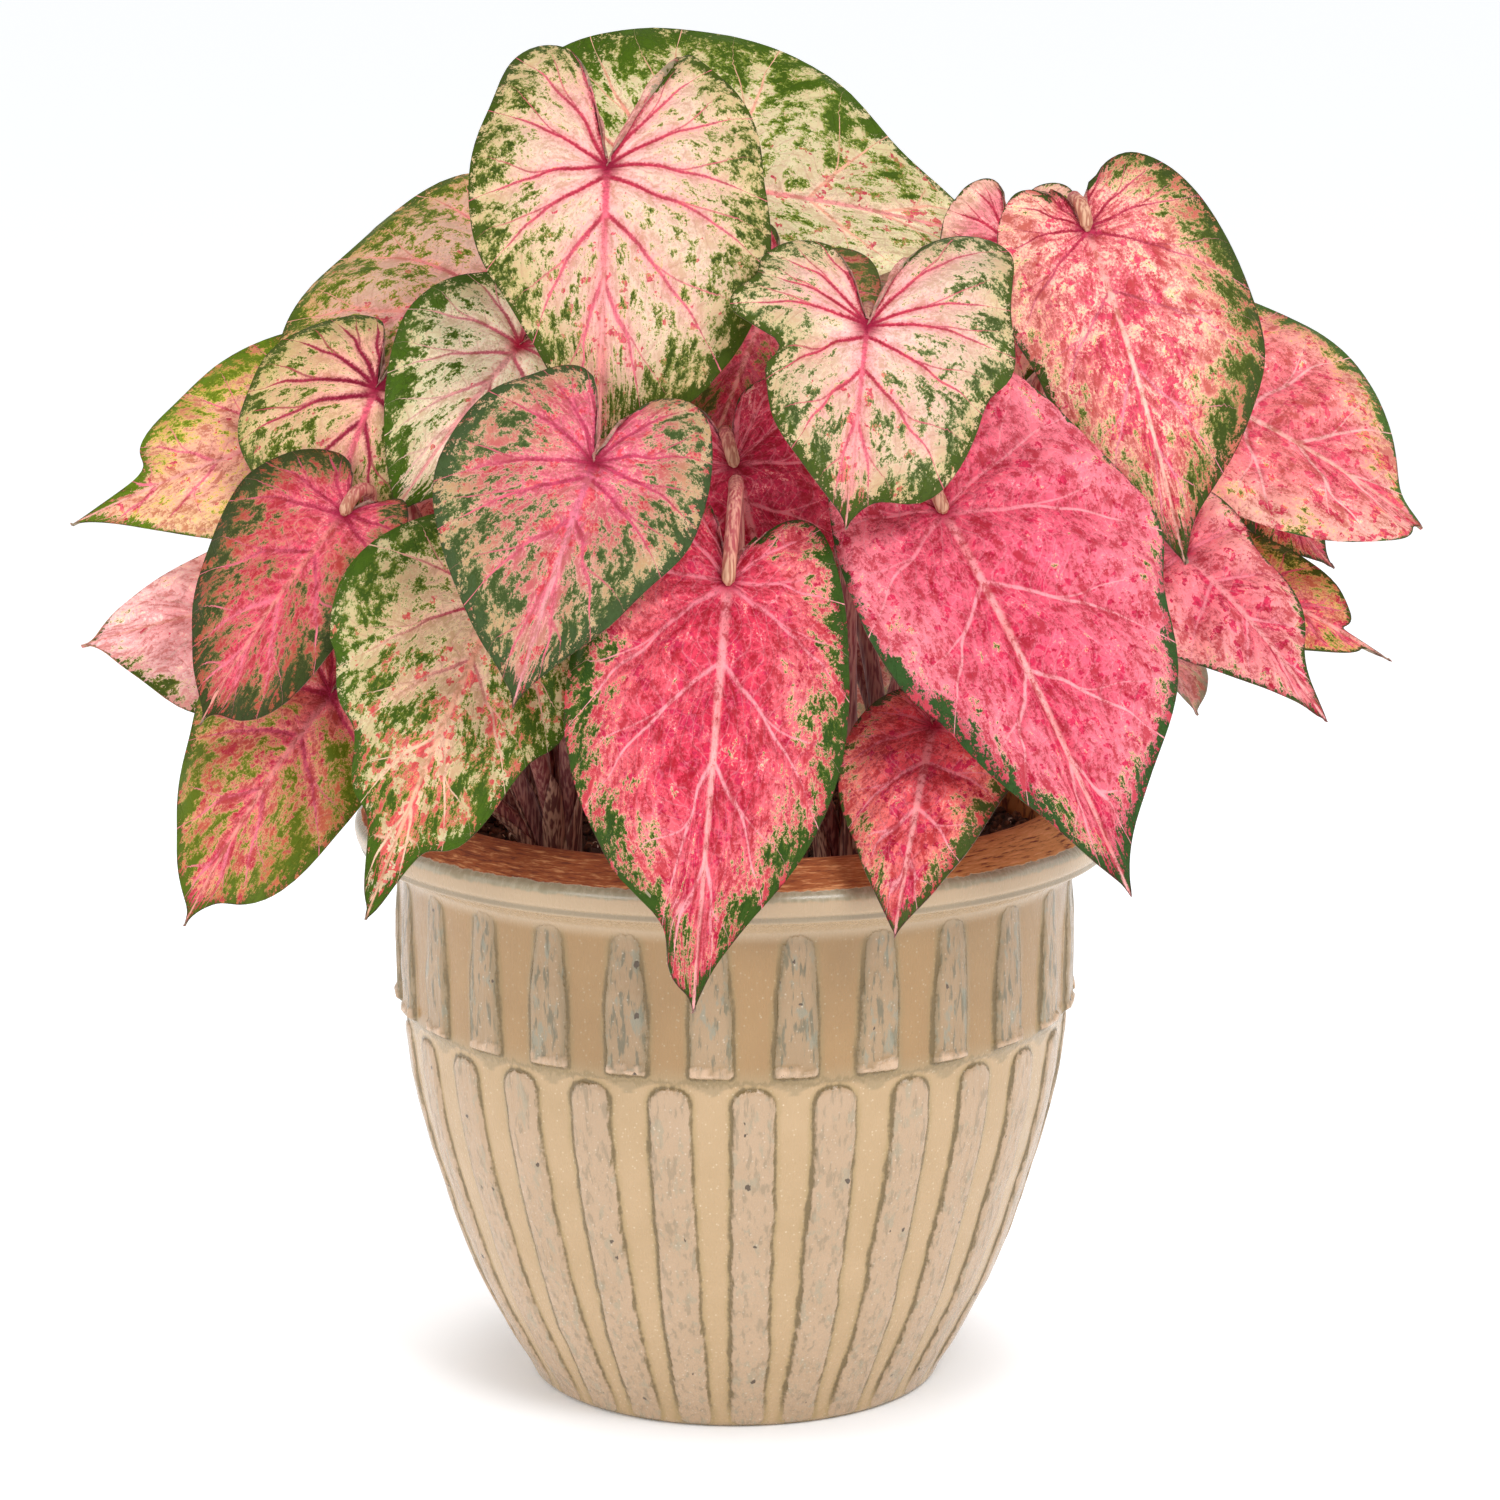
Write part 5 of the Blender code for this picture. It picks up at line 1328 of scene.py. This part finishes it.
STEM, SHEATH = stem_material(), sheath_material()
tubes = stem_tree()
for tuber in TUBERS:
    paths = stem_curves(tuber)
    stems = grown("petioles_" + tuber, paths, tubes,
                  {"Foot radius": STEM_FOOT_RADIUS * MM, "Top radius": STEM_TOP_RADIUS * MM,
                   "Sides": STEM_SIDES, "Material": STEM})
    bpy.data.objects.remove(paths, do_unlink=True)
    keep(stems, "stem", "stems_" + tuber)
    keep(make_sheaths(tuber, SHEATH), "stem")


# Camera, floor and light

FLOOR_HALF = 40000
# The camera's place in metres, how many degrees it looks down, its lens and its sensor in millimetres.
CAMERA_PLACE = (0.0055, -1.8, 0.605)
CAMERA_DOWN = 11.5
CAMERA_LENS = 118.0
SENSOR_WIDTH = 36.0
# Lamps: their place in metres, the side of their square and their power in watts. All face one point.
LAMPS = {
    "key": ((1.1, -1.7, 2.1), 1.1, 37.0),
    "fill": ((-1.6, -1.9, 1.1), 1.0, 14.0),
    "left edge": ((-1.7, 0.2, 0.7), 1.2, 8.0),
    "right edge": ((1.7, 0.3, 0.7), 1.2, 5.0),
}
LIT_POINT = (0.0, 0.0, 0.25)
SURROUND = 0.63


def photograph_view():
    camera = bpy.data.cameras.new("camera")
    camera.sensor_width = SENSOR_WIDTH
    camera.lens = CAMERA_LENS
    camera.clip_end = 100.0
    viewer = new_object("camera", camera)
    viewer.location = CAMERA_PLACE
    viewer.rotation_euler = (math.radians(90 - CAMERA_DOWN), 0.0, 0.0)
    bpy.context.scene.camera = viewer


def pale_floor():
    """White studio paper with a painted glow that grows away from the pot, so that near the pot the paper is
    darker, partly painted shadow, and only the contact shadow is left.
    """
    material, tree = new_material("white studio paper")
    place = add(tree, "TexCoord", output="Object")
    away = add(tree, "VectorMath", {0: place}, operation="LENGTH", output="Value")
    painted_glow = add(tree, "MapRange", {0: away, 1: 0.08, 2: 0.14, 3: 0.05, 4: 0.38}, **SOFT)
    finished(material, Base_Color="#F8FBFF", Roughness=0.9, Emission_Color="#FFFFFF",
             Emission_Strength=painted_glow)
    corners = [(x * FLOOR_HALF, y * FLOOR_HALF, 0) for x, y in ((-1, -1), (1, -1), (1, 1), (-1, 1))]
    write_mesh("floor", corners, [(0, 1, 2, 3)], material)


def soft_light():
    world = bpy.data.worlds.new("white studio")
    bpy.context.scene.world = world
    world.use_nodes = True
    world.node_tree.nodes.clear()
    sky = add(world.node_tree, "Background", {"Color": "#FFFFFF", "Strength": SURROUND})
    add(world.node_tree, "OutputWorld", {"Surface": sky})
    for name, (place, size, power) in LAMPS.items():
        lamp = bpy.data.lights.new(name, "AREA")
        lamp.size = size
        lamp.energy = power
        light = new_object(name, lamp)
        light.location = place
        aim = np.array(LIT_POINT) - np.array(place)
        light.rotation_euler = (math.atan2(math.hypot(aim[0], aim[1]), -aim[2]), 0.0,
                                math.atan2(aim[1], aim[0]) - math.pi / 2)


photograph_view()
pale_floor()
soft_light()
bpy.context.scene.view_settings.view_transform = "Standard"
